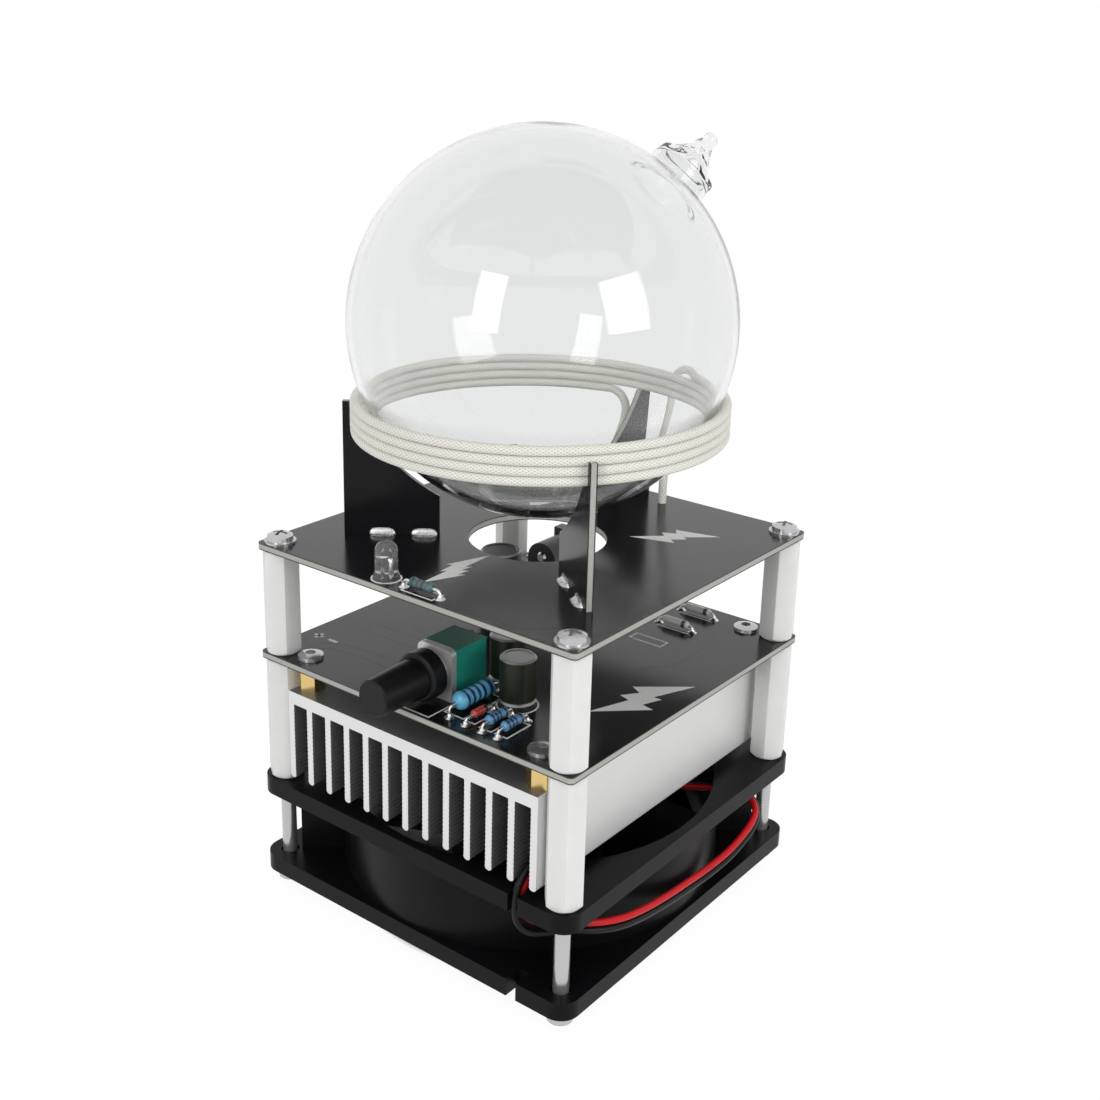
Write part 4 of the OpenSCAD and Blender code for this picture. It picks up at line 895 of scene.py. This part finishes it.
LINE = 0.42
LAMP_X, LAMP_Y = -8.2, -41.2
LOWER_FRAMES = [
    (7.4, -40.0, 12.7, -27.2), (13.4, -40.2, 16.0, -34.2), (17.6, -40.6, 20.8, -33.0),
    (21.8, -40.6, 25.0, -33.0), (15.9, 27.9, 24.6, 30.9), (15.9, 37.9, 24.6, 40.9),
    (-27.8, 30.4, -17.8, 44.6), (15.1, 17.4, 23.8, 20.4), (-4.6, -44.2, 6.6, -24.2),
]
LOWER_RINGS = [(17, -27.4, 4.5), (8, -20, 4.5), (-20.4, 11.5, 5.6), (0, 26, 4.2)]
LOWER_SIGNS = [
    [(-42.2, -30.6), (-39.4, -30.6)], [(-40.8, -32.0), (-40.8, -29.2)], [(-37.6, -30.6), (-34.8, -30.6)],
]
UPPER_SIGNS = [[(-4.6, -40.4), (-2.8, -40.4)], [(-3.7, -41.3), (-3.7, -39.5)]]


def print_marks():
    """White print on both boards: outlines of the parts, polarity signs and plain bolts."""
    film = 0.03
    low = [ribbon(frame_line(*area), LINE, LOW_TOP, film, True) for area in LOWER_FRAMES]
    low += [ribbon(ring(*circle), LINE, LOW_TOP, film, True) for circle in LOWER_RINGS]
    low += [ribbon(line, 0.8, LOW_TOP, film) for line in LOWER_SIGNS]
    low += [plaque(bolt(WIDE_BOLT, (30.5, -20), (41.5, 5)), LOW_TOP, film)]
    piece("lower_print", together(low), "board_black", coat=INK, sharp=20)
    up = [plaque(bolt(LONG_BOLT, (-0.9, -38.2), (-0.4, -16.5)), UP_TOP, film),
          plaque(bolt(WIDE_BOLT, (15.9, 14.3), (31.8, 27.9)), UP_TOP, film)]
    up += [ribbon(ring(LAMP_X, LAMP_Y, 3.2), LINE, UP_TOP, film, True)]
    up += [ribbon(frame_line(-1.4, -43.9, 7.2, -40.5), LINE, UP_TOP, film, True)]
    up += [ribbon(line, 0.5, UP_TOP, film) for line in UPPER_SIGNS]
    piece("upper_print", together(up), "board_black", coat=INK, sharp=20)


print_marks()


LOWER_TRACKS = [
    ([(-38, -36), (-33, -33), (-28, -32.2), (-8, -32.2)], 1.6),
    ([(-38, -33), (-33, -30), (-28, -29), (-8, -29)], 1.2),
    ([(-36, -20), (-12, -20)], 2.4),
    ([(-36, -16), (-14, -16)], 1.2),
    ([(-30, 20), (-30, -8), (-26, -12), (-14, -12)], 1.6),
    ([(-10, 30), (8, 30)], 2.0),
    ([(30, 30), (30, 10), (27, 6), (27, -6)], 1.6),
    ([(-4, 8), (10, 8)], 1.2),
]
UPPER_TRACKS = [
    ([(-13.3, -42.2), (-11, -42.2)], 1.2),
    ([(9.5, -42.2), (30, -42.2), (36, -36)], 1.2),
    ([(-4.2, 30), (-4.2, 20), (-8, 20)], 2.0),
]


def raise_copper():
    """Copper under the mask: flat tracks that stand a little proud of the board. Those of four points are
    smooth lines, the others have mitred corners."""
    film = 0.018
    low = [ribbon(smooth_line(line, 1.0) if len(line) > 3 else line, width, LOW_TOP, film)
           for line, width in LOWER_TRACKS]
    piece("lower_copper", together(low), "board_black", sharp=20)
    up = [ribbon(line, width, UP_TOP, film) for line, width in UPPER_TRACKS]
    piece("upper_copper", together(up), "board_black", sharp=20)


raise_copper()


# Indicator lamp

LAMP_R, LAMP_SHOULDER = 2.5, 6.1
LAMP_RIM = [(0, 0), (2.75, 0), (2.9, 0.15), (2.9, 0.85), (2.78, 1.0), (2.55, 1.02), (2.5, 1.1)]
CUP = [(0, 4.1), (0.28, 4.15), (0.62, 4.85), (0.74, 4.85), (0.6, 3.6), (0.36, 2.9), (0.26, 2.4), (0.26, 0.12),
       (0, 0.12)]
ANVIL = [(0, 0, 0.12), (0, 0, 2.4), (0, 0, 3.4), (-0.15, 0, 4.3), (-0.35, 0, 4.75)]


def mould_lamp():
    """Clear lamp: a domed cylinder with a rim at its foot, turned; inside it a cup on a post and a bent
    anvil."""
    x, y = LAMP_X, LAMP_Y
    a = np.linspace(0, TAU / 4, 14)
    dome = np.stack([LAMP_R * np.cos(a), LAMP_SHOULDER + LAMP_R * np.sin(a)], -1)
    shell = quads(turned(np.vstack([LAMP_RIM, dome]), 48) + (x, y, UP_TOP))
    piece("lamp_shell", shell, "indicator_clear", solid="indicator_lamp", sharp=40)
    post = quads(turned(CUP, 20) * (1.0, 1.5, 1.0) + (x - 0.75, y, UP_TOP))
    bar = tube(smooth_line(ANVIL, 0.3), 0.36, 10, (0, 1, 0)) * (1, 1.3, 1)
    anvil = quads(bar + (x + 1.15, y, UP_TOP), caps=True)
    piece("lamp_frame", together([post, anvil]), "inlet_pin", sharp=40)


mould_lamp()


# Light and stage

def area_light(name, place, aim, width, height, power):
    """A soft box: sizes and places in metres, power in watts."""
    lamp = bpy.data.lights.new(name, "AREA")
    lamp.shape, lamp.size, lamp.size_y, lamp.energy = "RECTANGLE", width, height, power
    holder = bpy.data.objects.new(name, lamp)
    holder.location = place
    holder.rotation_euler = (Vector(aim) - Vector(place)).to_track_quat("-Z", "Y").to_euler()
    bpy.context.collection.objects.link(holder)


def seen(start):
    """1 for rays from the camera, from gloss and through glass."""
    path = start.node("LightPath").socket.node
    kinds = ("Is Camera Ray", "Is Glossy Ray", "Is Transmission Ray")
    rays = [Val(start.tree, path.outputs[kind]) for kind in kinds]
    return rays[0].high(rays[1]).high(rays[2])


def set_stage():
    """White surroundings, a pale floor that keeps a faint shadow and doesn't glow under the fan, and soft
    boxes in front of the lamp."""
    world = bpy.data.worlds.new("surroundings")
    world.use_nodes = True
    world.node_tree.nodes.clear()
    start = Val(world.node_tree)
    light = start.node("Background", {"Color": rgb(1, 1, 1), "Strength": 0.7 + seen(start) * 0.3})
    end = world.node_tree.nodes.new("ShaderNodeOutputWorld")
    world.node_tree.links.new(light.socket, end.inputs["Surface"])
    bpy.context.scene.world = world

    mesh = bpy.data.meshes.new("floor")
    mesh.from_pydata([(-4, -4, 0), (4, -4, 0), (4, 4, 0), (-4, 4, 0)], [], [(0, 1, 2, 3)])
    coat = bpy.data.materials.new("pale floor")
    coat.use_nodes = True
    coat.node_tree.nodes.clear()
    start = Val(coat.node_tree)
    matt = start.node("BsdfDiffuse", {"Color": rgb(0.8, 0.8, 0.8)})
    glow = start.node("Emission", {"Color": rgb(1, 1, 1), "Strength": 1.05})
    place = start.node("TexCoord", out="Object")
    far = place.node("VectorMath", {0: place}, out="Value", operation="LENGTH")
    clear = far.step(0.0415, 0.0445)
    mixed = start.node("MixShader", {0: seen(start) * clear * 0.9, 1: matt, 2: glow})
    end = coat.node_tree.nodes.new("ShaderNodeOutputMaterial")
    coat.node_tree.links.new(mixed.socket, end.inputs["Surface"])
    mesh.materials.append(coat)
    floor = bpy.data.objects.new("floor", mesh)
    bpy.context.collection.objects.link(floor)

    aim = (0, 0, 0.1)
    area_light("front box", (0.1, -1.0, 0.5), aim, 0.3, 0.6, 2.4)
    area_light("right box", (0.95, -0.05, 0.45), aim, 0.45, 0.5, 2.6)
    bpy.context.scene.view_settings.view_transform = "Standard"


set_stage()
